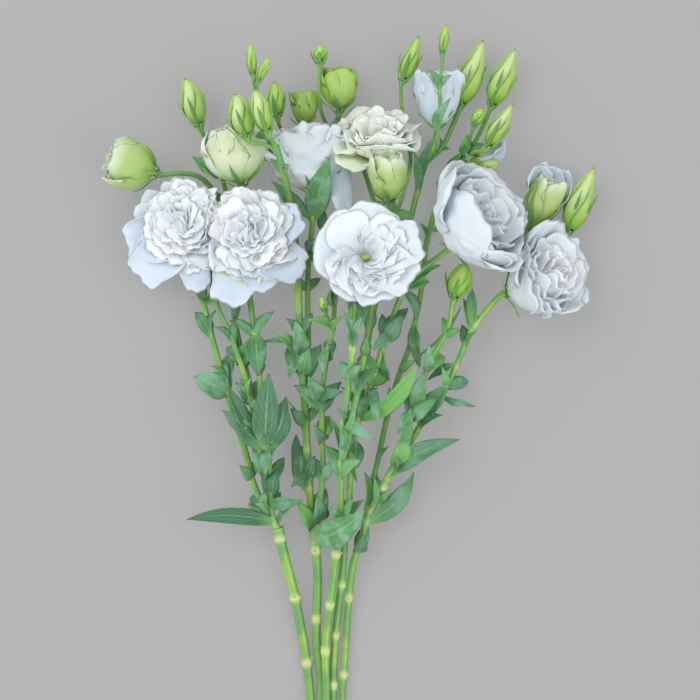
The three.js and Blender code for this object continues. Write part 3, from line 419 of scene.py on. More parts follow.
# Each stem has knots so many mm up its main stem, and shoots, the main stem first. A shoot has what
# it carries, its radius at the foot and at the top, and the places that it passes. A leaf has its
# foot, its tip, its width, a turn in degrees and, where they differ, values of its own.
stems = {
    "stem_left": dict(knots=(47, 91, 132), shoots=[
        (None, 2.7, 3.3, (-5.15, -27.9, 3), (-7.1, 0, 3), (-10, 26, 3.4), (-13.5, 45, 5),
         (-17.5, 66, 8), (-22.5, 85, 11), (-28, 108, 15)),
        ("bloom_ruffled_left", 2.2, 1.9, (-28, 107, 15), (-36, 120, 15), (-43, 135, 16), (-49, 158, 18),
         (-60, 193, 20), (-68, 222, 18), (-74, 245, 14), (-80, 268, 10), (-83, 286, 9)),
        ("bud_far_left", 1.9, 1.6, (-28, 107, 16), (-34, 125, 20), (-37, 150, 25), (-41, 170, 27),
         (-49, 208, 28), (-60, 237, 25), (-67, 252, 20), (-71, 272, 10), (-67, 292, 5), (-64, 312, 7),
         (-70, 328, 14), (-80, 337, 22), (-94, 338.5, 28)),
        ("bud_round", 2, 1.8, (-33, 122, 19), (-35, 150, 19), (-39, 170, 19), (-47, 205, 17),
         (-53, 228, 14), (-57, 252, 9), (-57, 280, 1.9), (-55, 300, 3.5), (-52, 316, 14)),
        ("bud_upper_left", 1.6, 1.4, (-56, 294, 2.5), (-60, 318, 4), (-65, 338, 5), (-71.5, 357, 9)),
        ("bloom_ruffled_right", 2.2, 1.9, (-32, 118, 19), (-33, 145, 26), (-36, 175, 30),
         (-40, 210, 28), (-43, 235, 23), (-46, 258, 16), (-47, 276, 13)),
    ], leaves=[
        ((-29, 111, 16), (-87, 114, 24), 12, 0, dict(arch=2, sway=-4, tint=-1)),
        ((-27, 110, 17), (-17, 124, 24), 8, -50),
        ((-33, 124, 22), (-11, 127, 34), 10, 20, dict(sway=1)),
        ((-38, 128, 16), (-46, 123, 12), 7, 30, dict(fold=10)),
        ((-38, 160, 30), (-63, 185, 30), 14, -15, dict(sway=-3, tint=-0.7)),
        ((-38, 165, 31), (-60, 201, 37), 12, 25, dict(sway=3, tint=-0.9)),
        ((-36, 162, 33), (-33, 209, 43), 18, 0, dict(fold=14, tint=-0.8)),
        ((-35, 160, 33), (-22, 194, 37), 17, -15, dict(sway=-4, tint=-1)),
        ((-61, 196, 21), (-82, 207, 25), 21, 10, dict(fold=32, arch=4)),
        ((-60, 196, 19), (-59, 223, 9), 12, -25),
        ((-42, 233, 25), (-40, 207, 36), 15, 0, dict(arch=4)),
        ((-44, 231, 24), (-50, 208, 20), 10, 40),
        ((-55, 215, 16), (-59, 241, 8), 7, 60),
        ((-68, 337, 14), (-84, 350, 16), 10, 20),
        ((-72, 358, 15), (-70, 369, 22), 6, 20),
    ]),
    "stem_rear": dict(knots=(76, 122), shoots=[
        (None, 2.8, 2.9, (0.3, -28, 2.55), (0, -8, 2.55), (0, 8, 2.55), (-1.5, 20, 2.7),
         (-2.8, 35, 3.3), (-2.6, 52, 4.4), (-2, 75, 7), (-3.4, 100, 11)),
        (None, 2.6, 2.2, (-3.4, 99, 11), (-6, 118, 13), (-8, 145, 16), (-10, 185, 19), (-12.5, 220, 21),
         (-14, 250, 20), (-15, 275, 16), (-17, 300, 15), (-20, 320, 28), (-24, 340, 47),
         (-28, 354, 57)),
        ("bud_slim_left", 1.6, 1.4, (-27, 351, 55), (-30, 357, 61)),
        ("bud_tip_left", 1.3, 1.1, (-27, 351, 54), (-35, 366, 48), (-40, 382, 46), (-42, 394, 47)),
        ("bud_tip_left_side", 1.1, 1, (-40, 383, 46), (-40, 391, 49)),
        ("bud_behind_left", 1.4, 1.3, (-27, 351, 55), (-35, 355, 58)),
        ("bloom_rear", 1.9, 1.7, (-11, 195, 19), (-8, 225, 14), (-8.5, 250, 10), (-8, 280, 8),
         (-6, 300, 10), (-5, 313, 14)),
        (None, 2, 1.7, (-3, 101, 12), (-0.5, 122, 17), (1.5, 150, 21), (1, 175, 24), (1, 195, 26),
         (4, 218, 28), (8, 238, 30)),
        ("bud_star", 1.3, 1.1, (8, 237, 30), (5, 244, 32)),
        ("bud_flat_top", 1.6, 1.3, (8, 237, 30), (9, 252, 24), (7, 275, 10), (1, 305, 1.7),
         (-4, 335, 1.7), (-10, 352, 2.2)),
        ("bud_small_green", 1.3, 1.2, (-7, 345, 1.9), (-18, 356, 4), (-25, 367, 13)),
    ], leaves=[
        ((-5, 101, 13), (29, 121, 45), 21, 10, dict(fold=12, arch=6, sway=-2)),
        ((-5, 102, 11), (-15, 126, 16), 9, 35),
        ((-9, 133, 14), (-16, 169, 10), 12, -30),
        ((-8, 141, 17), (-19, 135, 25), 8, 30),
        ((-10, 160, 17), (-23, 193, 13), 6, 80),
        ((-13, 222, 21), (-30, 236, 30), 9, 20),
        ((-13, 224, 21), (-39, 229, 22), 7, 65),
        ((-12, 221, 23), (-16, 243, 36), 12, 10),
        ((-13, 218, 21), (-21, 206, 27), 8, 20),
        ((-1, 192, 27), (-8, 207, 38), 11, 15),
        ((1, 192, 27), (15, 197, 37), 9, -20, dict(sway=1)),
        ((8, 237, 30), (-9, 243, 38), 7, 25, dict(sway=-2)),
        ((8, 237, 30), (15, 246, 40), 6, -30),
        ((5, 224, 29), (2, 209, 38), 8, 30),
        ((-5, 311, 14), (5, 347, 44), 17, 0, dict(fold=16)),
        ((-7, 311, 14), (-32, 334, 30), 11, 30, dict(sway=3)),
    ]),
    "stem_centre": dict(knots=(55, 86, 121), shoots=[
        (None, 2.6, 2.5, (3.9, -28, 6.55), (3.8, 0, 6.7), (3.2, 30, 8.1), (4.8, 45, 9.6), (6.6, 61, 12),
         (8.8, 80, 16), (11.5, 100, 22)),
        ("bloom_centre", 2.3, 1.9, (11.3, 98, 21), (13, 125, 32), (14, 150, 39), (15, 175, 43),
         (18, 200, 47), (21, 225, 49), (23, 248, 48), (27, 268, 43)),
        ("bloom_upper", 2, 1.7, (14, 152, 39), (19, 175, 45), (25, 200, 44), (29, 225, 38),
         (33, 250, 32), (38, 280, 27), (40, 305, 25), (39, 325, 22)),
        ("bud_centre", 1.5, 1.3, (39, 292, 26), (43, 303, 35), (44, 309, 42)),
        ("bud_round_top", 1.6, 1.4, (39.5, 298, 25), (35, 320, 12), (27, 345, 3.5), (18, 362, 3.5),
         (13, 372, 6)),
        ("bud_ball", 1.3, 1.1, (22, 356, 3.5), (8, 366, 5), (1, 378, 12), (-1, 392, 22),
         (-0.5, 404, 26)),
        ("bud_pointed_top", 1.4, 1.2, (40, 300, 25), (50, 315, 29), (55, 330, 28), (58.5, 346, 20),
         (57.5, 362, 9), (53.5, 378, 9), (52.5, 391, 16)),
    ], leaves=[
        ((14, 152, 41), (23, 187, 52), 8, -20),
        ((13, 151, 37), (6, 181, 35), 7, 50),
        ((20, 178, 46), (36, 167, 55), 9, 20, dict(arch=5)),
        ((21, 226, 49), (15, 249, 60), 8, 35),
        ((21, 226, 49), (27, 245, 60), 8, -35),
        ((23, 240, 47), (19, 263, 40), 9, 10),
    ]),
    "stem_middle": dict(knots=(32, 65, 99), shoots=[
        (None, 2.6, 2.4, (8, -28, 3), (8, 0, 3), (8.6, 20, 3.2), (9.8, 38, 3.6), (11.6, 55, 5),
         (13.8, 73, 8), (15.8, 100, 14)),
        (None, 2.3, 2.1, (15.6, 98, 13.6), (18, 122, 18), (20, 150, 23), (22, 172, 26)),
        ("bloom_right", 2, 1.8, (22, 170, 26), (29, 192, 28), (37, 215, 30), (44, 236, 31),
         (51, 256, 33), (62, 273, 37), (75, 283, 42)),
        ("bloom_half_open", 2.2, 1.9, (22, 170, 25.5), (25, 192, 19), (30, 225, 12), (36, 255, 8),
         (47, 285, 6), (58, 308, 9), (62.5, 325, 13), (68, 345, 15), (74, 360, 15)),
        ("bud_tip_right", 1.3, 1.1, (67, 342, 15), (73, 354, 30), (77, 370, 38), (77, 392, 38),
         (78.5, 408, 37)),
        ("bud_striped", 1.7, 1.5, (69, 347, 15), (79, 356, 9), (86, 370, 11)),
    ], leaves=[
        ((22, 172, 27), (24, 138, 30), 9, 50),
        ((26, 180, 28), (62, 215, 46), 14, 20, dict(sway=-5, tint=1)),
        ((32, 200, 29), (36, 176, 42), 8, -20),
        ((35, 210, 31), (28, 222, 32), 8, 10),
        ((40, 224, 31), (45, 204, 24), 8, 40),
        ((43, 233, 33), (34, 224, 42), 9, 0),
        ((44, 234, 31), (57, 251, 30), 12, -30),
        ((56, 264, 35), (78, 279, 30), 9, -40),
        ((63, 328, 14), (61, 353, 24), 8, 25),
        ((65, 333, 15), (73, 362, 27), 8, -25),
        ((75, 365, 38), (84, 386, 45), 9, -30, dict(fold=30)),
    ]),
    "stem_right": dict(knots=(39, 90, 168), shoots=[
        (None, 2.2, 2.4, (14, -28, 3), (14.2, 0, 3), (15.4, 16, 3), (17.3, 45, 4), (18.9, 66, 6),
         (21.5, 85, 9), (26.5, 100, 12), (30, 113, 14), (37, 128, 17), (44, 141, 20)),
        ("bud_drop", 2, 1.6, (43.5, 140, 20), (51, 157, 24), (57, 173, 27), (62, 190, 28),
         (67, 206, 28), (74, 222, 27), (82, 236, 27)),
        ("bloom_far_right", 2.1, 1.9, (43.5, 140, 20), (55, 158, 20), (67, 178, 19), (77, 191, 19),
         (84, 204, 19), (91, 220, 19), (98, 236, 20), (108, 250, 22)),
        (None, 1.8, 1.7, (29, 111, 13.6), (32, 130, 12), (37, 150, 10), (43, 178, 8), (51, 207, 8),
         (58, 226, 8), (63, 248, 7), (67, 270, 5), (69, 292, 4), (75, 315, 3), (84, 336, 3),
         (92, 350, 4)),
        ("bud_tall_right", 1.5, 1.4, (91, 348, 4), (99, 357, 8), (106, 370, 12)),
        ("bud_lean_right", 1.4, 1.3, (90, 346, 4.5), (96, 350, 17), (102, 353, 26)),
        ("bud_ball_right", 1.2, 1.1, (90, 346, 4), (94, 354, 14), (97, 361, 20)),
        ("bud_split_right", 1.4, 1.3, (86, 340, 3), (91, 342, 9)),
        ("bloom_unfurling", 1.6, 1.5, (71, 303, 3.6), (84, 303, 1.9), (104, 297, 1.7), (120, 297, 3),
         (130, 299, 7)),
        ("bud_leaf_shaped", 1.4, 1.3, (112, 297, 2.2), (130, 292, 2.6), (146, 291, 4), (154, 295, 8)),
    ], leaves=[
        ((44, 142, 21), (90, 166, 30), 14, -10, dict(sway=4)),
        ((30, 112, 14), (61, 144, 10), 14, 15, dict(sway=-4, tint=-0.5)),
        ((33, 120, 14), (35, 141, 28), 7, 40),
        ((50, 155, 24), (58, 187, 38), 9, 30),
        ((61, 187, 29), (66, 209, 40), 12, 0),
        ((60, 184, 28), (50, 170, 36), 9, 20),
        ((70, 182, 20), (83, 202, 28), 15, -20, dict(fold=34)),
        ((79, 193, 20), (101, 187, 22), 7, 40, dict(sway=3)),
        ((87, 214, 20), (70, 204, 12), 7, 30),
        ((66, 222, 6), (92, 253, 10), 7, 60),
        ((100, 240, 20), (99, 264, 16), 9, -20),
        ((97, 236, 20), (93, 258, 14), 6, 20),
        ((61, 240, 8), (65, 212, 14), 9, 20),
        ((86, 340, 4), (92, 353, 17), 8, -30),
    ]),
}

# flowers

# A press is a place and the direction away from what lies there.
besideLeft = [((-64, 300, 30), (-1, 0.1, -0.42))]
besideRight = [((-68, 300, 30), (1, -0.1, 0.42)), ((-50, 331, 40), (0, -1, 0.2))]


# foot is the place where the stalk ends, and axis is where the flower faces. Of what some have
# besides, drift is how far the petals stray at a height of 30 mm, and roll turns the petals that
# stand evenly round. beside names single petals that are a piece of their own. Sepals keep close
# to the petals for the share hug of their length, and swing to the side by sepalSwing.
def flowerAt(foot, axis, form, material, **own):
    return dict(own, foot=foot, axis=axis, form=form, material=material)


# A bud has its width and length too. A smaller taper is blunter at the tip. The outer petals of
# an opening bud are so many as count says and close in by closing, with rims that curl out by
# flare and round corners. greener is the side, in degrees, whose petals take the inner colour:
# on bud_round the side that is still green, on bud_far_left its upper side, as painted shade.
def budAt(foot, axis, width, length, material, form="closed", **own):
    return dict(flowerAt(foot, axis, form, material, **own), width=width, length=length)


flowers = {
    "bloom_ruffled_left": flowerAt((-85, 297, 15), (-0.16, -0.02, 1), "ruffledLeft", "white", seed=3,
        presses=besideLeft, drift=(-2, 12, 0), pistil=True),
    "bloom_ruffled_right": flowerAt((-47, 290, 19), (0.08, -0.02, 1), "ruffledRight", "white", seed=8,
        presses=besideRight, drift=(-1, 12, 0)),
    "bloom_centre": flowerAt((30, 282, 44), (-0.04, 0.06, 1), "open", "white", seed=5, drift=(-1, 5, 0),
        pistil=True),
    "bloom_upper": flowerAt((37, 344, 24), (0, 0.85, 0.6), "wide", "creamWhite", seed=12,
        presses=[((44, 345, 44), (0, 0.35, -0.94))]),
    # its petals take the darker white petal colour, painted shade
    "bloom_rear": flowerAt((-5, 327, 20), (-0.12, 1, 0.02), "bell", "shadedWhite", seed=9,
        presses=[((-43, 350, 20), (1, 0, 0)), ((19, 350, 20), (-1, 0, 0)),
                 ((-20, 345, 39), (0, 0, -1)), ((-12, 350, 8), (0, 0, 1))],
        beside="hanging", besideValues=dict(foot=(7, 360, 20), axis=(0.2, -1, -0.05), presses=())),
    # its petals take the darker white petal colour, painted shade
    "bloom_right": flowerAt((85, 291, 49), (0.62, 0.5, 0.58), "cabbage", "shadedWhite", seed=21,
        presses=[((121, 290, 53), (-0.68, 0.61, 0.41)), ((100, 310, 91.4), (0, 0, -1))]),
    "bloom_far_right": flowerAt((121, 261, 27), (0.8, 0.26, 0.52), "loose", "white", seed=33,
        scale=0.91, drift=(6, 5, 0), presses=[((121, 290, 51), (0.68, -0.61, -0.41))]),
    "bloom_half_open": flowerAt((76, 370, 17), (0.02, 1, 0.05), "halfOpen", "white", seed=4, roll=0.6),
    "bloom_unfurling": flowerAt((136, 303, 11), (0.43, 0.88, 0.2), "unfurling", "halfGreen", seed=6,
        roll=0.5, beside="behind", hug=0.98, sepalSwing=0.7),
    "bud_split_right": budAt((96, 344, 15), (1, 0.1, 0.1), 13, 21, "paleGreen", seed=7, beside="above"),
    # its upper side, where the light falls, takes the darker inner colour by greener: painted shade
    "bud_far_left": budAt((-106, 338.5, 30), (-0.93, 0.3, 0.2), 32, 32, "halfGreen", "opening", seed=2,
        flare=1.4, round=0.12, closing=-40, greener=90, count=4),
    "bud_round": budAt((-51, 331, 27), (-0.2, 0.96, 0.1), 41, 38, "cream", "opening", seed=14,
        flare=2.6, greener=180, closing=-46, round=0.1, roll=1.0, count=5),
    "bud_round_top": budAt((12, 380, 14), (0.02, 0.99, 0.14), 24, 27, "paleGreen", "opening", seed=15,
        closing=-32, round=0.1, count=4),
    "bud_centre": budAt((44.5, 319, 50), (-0.05, 0.93, 0.36), 23, 32, "halfGreen", "opening", seed=16,
        closing=-36, round=0.1, flare=0.4),
    "bud_flat_top": budAt((-11, 370, 9.5), (0, 0.99, 0.08), 17, 22, "paleGreen", "opening", seed=17,
        closing=-14, round=0.06),
    "bud_upper_left": budAt((-79, 371, 17), (-0.28, 0.95, 0.12), 16, 32, "paleGreen"),
    "bud_behind_left": budAt((-46.5, 361, 57), (-0.26, 0.95, 0.05), 17, 28, "paleGreen"),
    "bud_slim_left": budAt((-33, 363, 68), (-0.3, 0.94, 0.1), 13, 28, "paleGreen"),
    "bud_small_green": budAt((-28, 377, 20), (-0.1, 0.99, 0.1), 12, 22, "tightGreen"),
    "bud_tip_left": budAt((-43, 401, 48), (-0.1, 0.99, 0), 6.5, 20, "tightGreen"),
    "bud_tip_left_side": budAt((-39, 397, 50), (0.4, 0.9, 0), 6, 16, "tightGreen"),
    "bud_star": budAt((3, 250, 34), (-0.2, 0.9, 0.4), 6, 10, "tightGreen"),
    "bud_ball": budAt((0, 411, 27), (0, 1, 0), 9, 11, "tightGreen"),
    "bud_pointed_top": budAt((54, 400, 20), (0.34, 0.94, 0.08), 11, 30, "tightGreen", taper=0.9),
    "bud_tip_right": budAt((79, 416, 37), (0.12, 0.99, 0), 6, 18, "tightGreen"),
    "bud_striped": budAt((92, 385, 13.5), (0.32, 0.94, 0.12), 17, 44, "paleGreen", taper=1),
    "bud_tall_right": budAt((112, 384, 15), (0.38, 0.92, 0.1), 16, 40, "paleGreen", taper=1),
    "bud_lean_right": budAt((108.5, 356, 30), (0.5, 0.85, 0.05), 12, 32, "paleGreen", taper=1),
    "bud_ball_right": budAt((100, 370, 25), (0.4, 0.9, 0.1), 8.5, 12, "tightGreen"),
    "bud_leaf_shaped": budAt((162, 302, 14), (0.36, 0.93, 0.1), 17.5, 45, "paleGreen", taper=1),
    "bud_drop": budAt((87, 258, 29), (0.3, 0.95, 0.1), 17, 24, "tightGreen"),
}

# where flowers stand and how they press on each other

rules = dict(
    groundClearance=0.7,  # height of a petal's middle where it lies on the surface
    groundSoftness=3,
    pressSoftness=4,
    pressWave=2.2,  # how far the face where two flowers meet wanders to and fro
    levelWave=1.4,  # the same for a face that lies nearly level
    layerClearance=1.2,  # how much further from a press each layer keeps
    layerRise=1.8,  # how much higher each layer stands
    driftHeight=30,
    sepalClearance=1.5,
    cupRadius=3.2,  # a stalk's radius where its flower sits
    smallCupRadius=1.6,
    smallBud=9,  # a bud less wide than this is small
    straightEnd=4.5,  # how far a stalk runs along its flower's axis
)


def axesOf(flower):
    axis = unit(flower["axis"])
    guide = skyward if abs(axis[2]) < 0.8 else np.array([0, 1.0, 0])
    first = unit(np.cross(guide, axis))
    return axis, first, np.cross(axis, first)


# a place in a flower, from how far out from the axis, how high along it and how far round
def placeIn(flower, out, height, angle, across=0.0):
    axis, first, second = flower["axes"]
    out, height, angle, across = np.broadcast_arrays(out, height, angle, across)
    cosine, sine = np.cos(angle)[..., None], np.sin(angle)[..., None]
    radial = first * cosine + second * sine
    beside = second * cosine - first * sine
    place = np.array(flower["foot"], float) + radial * out[..., None]
    return place + axis * height[..., None] + beside * across[..., None]


def heldBack(places, gap, normal, softness):
    kept = softness * np.exp(np.minimum((gap - softness) / softness, 0))
    return places + np.where(gap < softness, kept - gap, 0)[..., None] * normal


# bends places back smoothly where they would pass the surface or a neighbouring flower
def pressed(places, presses=(), depth=0.0):
    for at, away in presses:
        normal = unit(away)
        x, y, z = places[..., 0], places[..., 1], places[..., 2]
        wander = np.sin(y / 3.7 + z / 6.1 + x / 9) + 0.7 * np.sin(y / 7.3 - z / 4.9 + x / 4.3)
        reach = rules["pressWave"] * normal[0] + rules["levelWave"] * normal[2]
        gap = (places - np.array(at, float)) @ normal - wander * reach
        places = heldBack(places, gap - depth * rules["layerClearance"], normal, rules["pressSoftness"])
    ground = places[..., 2] - rules["groundClearance"]
    return heldBack(places, ground, skyward, rules["groundSoftness"])


# petals

# Lengths and widths are in mm and a petal's width is half of what it spans. A lean is in degrees
# from the flower's axis, at the foot and at the rim. depth counts how far inside a layer lies. In a
# full flower, petals on the side of hood are longer by its share. A fan is a wide petal that keeps
# its place round the axis all along.
petalDefaults = dict(
    start=2, lift=2, bend=1, spread=1, rise=1, depth=0, angles=None, count=5, jitter=0.12, loose=3,
    ruffle=1.4, waves=7, freeWaves=0, frill=0.5, pitch=11, crumple=0.5, crumplePitch=16,
    crumpleReach=(0.1, 0.6), curl=0, curlReach=(0.72, 1), cup=1.1, overlap=1.7, spiral=(0.5, 2.6),
    round=0.16, corner=0.24, notch=0.02, hood=(0, 0), fan=False, tint=None, thickness=0.5,
    grid=(22, 22),
)
plain = dict(ruffle=1.0, frill=0.35, pitch=12, crumple=1.1, crumplePitch=19, round=0.09, tint=1.0)
calm = dict(plain, ruffle=1.2, loose=1, spiral=(0.3, 1.2), crumple=0.8)
frilled = dict(ruffle=1.8, freeWaves=1, frill=0.8, pitch=9, crumple=1.4, crumplePitch=13, tint=-0.4)
crumpled = dict(
    plain, ruffle=1.8, freeWaves=1, crumple=1.4, crumplePitch=14, round=0.08, loose=8, tint=-0.4,
)
bare = {}


# a layer of petals at the angles listed, or of so many evenly round
def petals(kind, where, length, width, leanFoot, leanRim, **own):
    placed = {"count" if isinstance(where, int) else "angles": where}
    size = dict(length=length, width=width, leanFoot=leanFoot, leanRim=leanRim)
    return {**kind, **placed, **size, **own}


# The frilled dome of a very full flower: petals in a spiral, the outermost first, which stand up
# and then fold outwards, so that their faces lie on the dome. toward is the side that is fuller.
def domeLayers(count, length, toward, seed):
    draw = drawsFrom(seed)
    layers = []
    for k in range(count):
        share = k / (count - 1)
        angle = k * 137.5 + draw(-22, 22)
        below = max(0, -math.sin(math.radians(angle)))
        layers.append(petals(
            bare, [angle],
            mix(length, length * 0.78, share) * draw(0.9, 1.07) * (1 - 0.3 * below * (1 - share)),
            mix(16, 9, share) * draw(0.8, 1.1),
            mix(30, 4, share) + draw(-3, 3),
            mix(106, 68, share ** 1.5) + draw(-14, 14),
            start=mix(2, 0.8, share), bend=mix(1.0, 2.2, share), depth=mix(0.4, 1.5, share),
            ruffle=mix(2.0, 1.4, share), freeWaves=1, frill=draw(0.5, 1.1), pitch=draw(5.5, 9),
            crumple=draw(1.0, 1.8), crumplePitch=13, round=draw(0.02, 0.12),
            hood=(toward, 0.16 * (1 - share)), spiral=(0.5, draw(0.5, 2.0)), tint=draw(-1, -0.2),
            grid=(24, 20),
        ))
    # the innermost fold over the middle
    for k in range(7):
        layers.append(petals(
            bare, [k * 154 + draw(-30, 30)], length * draw(0.78, 0.92), draw(7, 11), draw(4, 14),
            -draw(20, 105), bend=draw(2.2, 4), depth=1.5, freeWaves=1, ruffle=2.4, frill=1.1, pitch=6,
            crumple=1.6, crumplePitch=11, spiral=(0.5, draw(1, 4)), round=0.05, tint=-0.6,
            grid=(18, 20),
        ))
    return layers


# petals in their layers, from the outside in
petalLayers = {
    "ruffledLeft": [
        petals(plain, [190], 43, 19, 36, 106, curl=-1.2),
        petals(plain, [224], 44, 18, 40, 108),
        petals(plain, [284], 36, 12, 52, 100, tint=1.8),
        petals(plain, [146], 39, 17, 32, 92),
        petals(plain, [100, 64], 36, 14, 30, 84, tint=-0.2),
        petals(plain, [320, 0], 34, 14, 32, 86, tint=0),
        *domeLayers(42, 37, 30, 61),
    ],
    "ruffledRight": [
        petals(plain, [26], 42, 16, 34, 94, curl=2),
        petals(plain, [334], 44, 17, 42, 102),
        petals(plain, [248], 41, 18, 46, 104, tint=1.8),
        petals(plain, [292], 36, 14, 40, 96),
        petals(plain, [68, 104], 36, 17, 28, 84, tint=-0.2),
        petals(plain, [144, 205], 34, 15, 30, 84, tint=0),
        *domeLayers(42, 36, 150, 87),
    ],
    "open": [
        petals(calm, [164], 39, 60, 22, 98, overlap=2, fan=True, round=0.06, tint=0.5, grid=(42, 22)),
        petals(calm, [76], 40, 60, 22, 97, overlap=1.4, fan=True, round=0.08, tint=0.3, grid=(36, 22)),
        petals(calm, [12, 328], 42, 20, 25, 96, ruffle=1.8, tint=0),
        petals(calm, [288, 246], 37, 20, 25, 97, ruffle=2, tint=0.3),
        petals(calm, [128], 36, 60, 17, 92, overlap=1.5, fan=True, depth=0.8, round=0.12,
               spiral=(0.2, 0.8), tint=-0.3, grid=(36, 22)),
        petals(frilled, [48, 14, 344, 312, 280, 248, 218], 35, 15, 19, 86, depth=0.9, loose=4,
               spiral=(0.3, 1.4)),
        petals(frilled, [62, 28, 356, 322, 290, 258], 29, 12, 15, 78, depth=1.4, loose=5,
               spiral=(0.3, 1.4)),
        petals(frilled, [40, 2, 324, 286, 248], 22, 9, 11, 64, depth=1.8, frill=0.6, crumple=0.9,
               loose=6, spiral=(0.3, 1.2)),
    ],
    "cabbage": [
        petals(plain, [18], 63, 37, 86, -10, curl=1.5, crumple=2.2, crumplePitch=15, tint=0.5),
        petals(plain, [76], 65, 40, 85, -34, curl=1.5, crumple=2.4, crumplePitch=14, tint=0.5),
        petals(plain, [324], 53, 28, 82, 14, curl=3, tint=0.2),
        petals(plain, [140], 56, 32, 84, -8, curl=2, tint=0.2),
        petals(plain, [205, 260], 57, 30, 84, 24, curl=4, tint=0.4),
        petals(plain, [48], 54, 32, 76, -26, depth=0.6, crumple=2, crumplePitch=15, tint=0),
        petals(plain, [112, 344], 49, 28, 76, -6, depth=0.7, curl=2),
        petals(plain, [172, 232, 292], 54, 27, 78, 16, depth=0.8, curl=3.5, ruffle=1.4, tint=-0.2),
        petals(plain, [80, 16], 42, 24, 62, -14, depth=1.3, curl=2, tint=-0.4),
        petals(plain, [130, 185, 240, 300], 48, 23, 66, 14, depth=1.4, curl=3, ruffle=1.6, tint=-0.4),
        petals(plain, [48], 39, 18, 46, -10, depth=1.9, tint=-0.6),
        petals(plain, [110, 160, 215, 270, 330], 42, 18, 50, 10, depth=2.0, curl=2, loose=8,
               crumple=1.6, tint=-0.7),
        petals(bare, 5, 37, 14, 30, 2, curl=1.5, depth=2.6, jitter=0.5, loose=10, crumple=1.4,
               tint=-0.8),
        petals(bare, 3, 34, 11, 12, -10, curl=1, depth=3, jitter=0.5, loose=10, crumple=1.2, tint=-0.8),
    ],
    "loose": [
        petals(plain, [252, 306], 54, 28, 68, 36, curl=2, tint=0.7),
        petals(plain, [352, 200], 36, 24, 66, 14, curl=3, tint=0.2),
        petals(plain, [48, 100], 41, 22, 66, 22, curl=3, ruffle=2, freeWaves=1, tint=0),
        petals(plain, [146], 35, 16, 62, 16, curl=3, tint=0),
        petals(plain, [280, 328, 228], 47, 24, 60, 28, depth=0.7, curl=2.5, tint=0.1),
        petals(frilled, [15, 70, 124, 172], 38, 19, 58, 24, depth=0.8, curl=2, loose=6),
        petals(plain, [256, 306], 43, 21, 52, 20, depth=1.4, curl=2.5, tint=-0.3),
        petals(frilled, [0, 50, 100, 152, 206], 37, 17, 48, 20, depth=1.5, curl=1.6, loose=8),
        petals(frilled, 5, 35, 15, 36, 18, depth=2.1, jitter=0.4, curl=1.4, loose=10, tint=-0.7),
        petals(frilled, 4, 33, 11, 20, 4, curl=0.8, depth=2.6, jitter=0.5, loose=8, tint=-0.8),
        petals(frilled, 3, 31, 8, 8, -30, bend=2, depth=3, jitter=0.5, loose=8, tint=-0.8),
    ],
    "wide": [
        petals(plain, [46], 31, 17, 50, 98, curl=1, tint=1.6),
        petals(plain, [12], 34, 23, 36, 82, curl=2, tint=0.6),
        petals(plain, [172], 30, 26, 36, 80, curl=3.5, round=0.03, corner=0.1, tint=0),
        petals(plain, [232, 274, 318], 37, 26, 34, 84, curl=1.5, round=0.03, ruffle=1.6, tint=0),
        petals(plain, [126], 33, 25, 50, 36, curl=3, tint=-0.3),
        petals(plain, [76], 33, 24, 48, 38, curl=3, depth=0.4, tint=0.2),
        petals(crumpled, [28, 345, 192], 28, 22, 30, 60, depth=0.7, round=0.03, corner=0.12, curl=2.5),
        petals(crumpled, [248, 302], 32, 24, 24, 64, depth=0.9),
        petals(crumpled, [104, 154], 30, 20, 30, 24, curl=3, depth=1),
        petals(crumpled, [60, 10, 225, 320], 29, 18, 20, 40, depth=1.4, curl=2),
        petals(crumpled, [130, 190, 270], 27, 14, 12, 28, depth=1.8, curl=1),
        petals(crumpled, [20, 140, 260], 25, 10, 4, -40, bend=3, depth=2.2),
    ],
    "bell": [
        petals(plain, [0, 72, 144, 216, 288], 50, 22, 90, -4, bend=0.7, ruffle=1.6, crumple=2.8,
               crumplePitch=11, curl=3.5, tint=0.3),
        petals(plain, [36, 108, 180, 252, 324], 46, 19, 66, -2, depth=0.8, ruffle=2.2, crumple=2.2,
               crumplePitch=13, curl=3, freeWaves=1, tint=-0.3),
        petals(plain, [10, 95, 190, 280], 42, 15, 38, 2, depth=1.5, ruffle=2.4, frill=1.4, freeWaves=1,
               crumple=2.2, tint=-0.6),
    ],
    "halfOpen": [
        petals(plain, 4, 36, 19, 180, -4, start=3, bend=0.25, spread=0.65, rise=1.2, ruffle=0.6,
               curl=2, tint=0.8),
        petals(plain, 4, 34, 16, 170, -4, start=3, bend=0.25, spread=0.6, rise=1.22, ruffle=0.8,
               depth=0.4, curl=1, tint=0.2),
        petals(plain, 3, 32, 11, 60, -4, start=2, bend=0.4, ruffle=0.7, depth=0.8, tint=-0.5),
    ],
    "unfurling": [
        petals(plain, 3, 38, 15, 44, -26, ruffle=0.6, frill=0.2, curl=0.8, tint=0.2),
        petals(plain, 3, 33, 13, 34, -20, ruffle=0.6, depth=0.5, tint=-0.4),
        petals(plain, 3, 30, 8, 16, -6, ruffle=0.6, depth=0.9, tint=-0.8),
    ],
    # single petals that stand free of the rest of their flower
    "hanging": [
        petals(plain, [90], 47, 9.5, 32, -14, ruffle=0.8, crumple=1.4),
    ],
    "behind": [
        petals(plain, [285, 232], 45, 19, 32, -30, bend=2.2, round=0.05, corner=0.12, tint=1),
        petals(plain, [325], 40, 13, 28, -16, bend=2, tint=0.7),
    ],
    "above": [
        petals(plain, [338, 20], 27, 10, 26, 26),
    ],
}


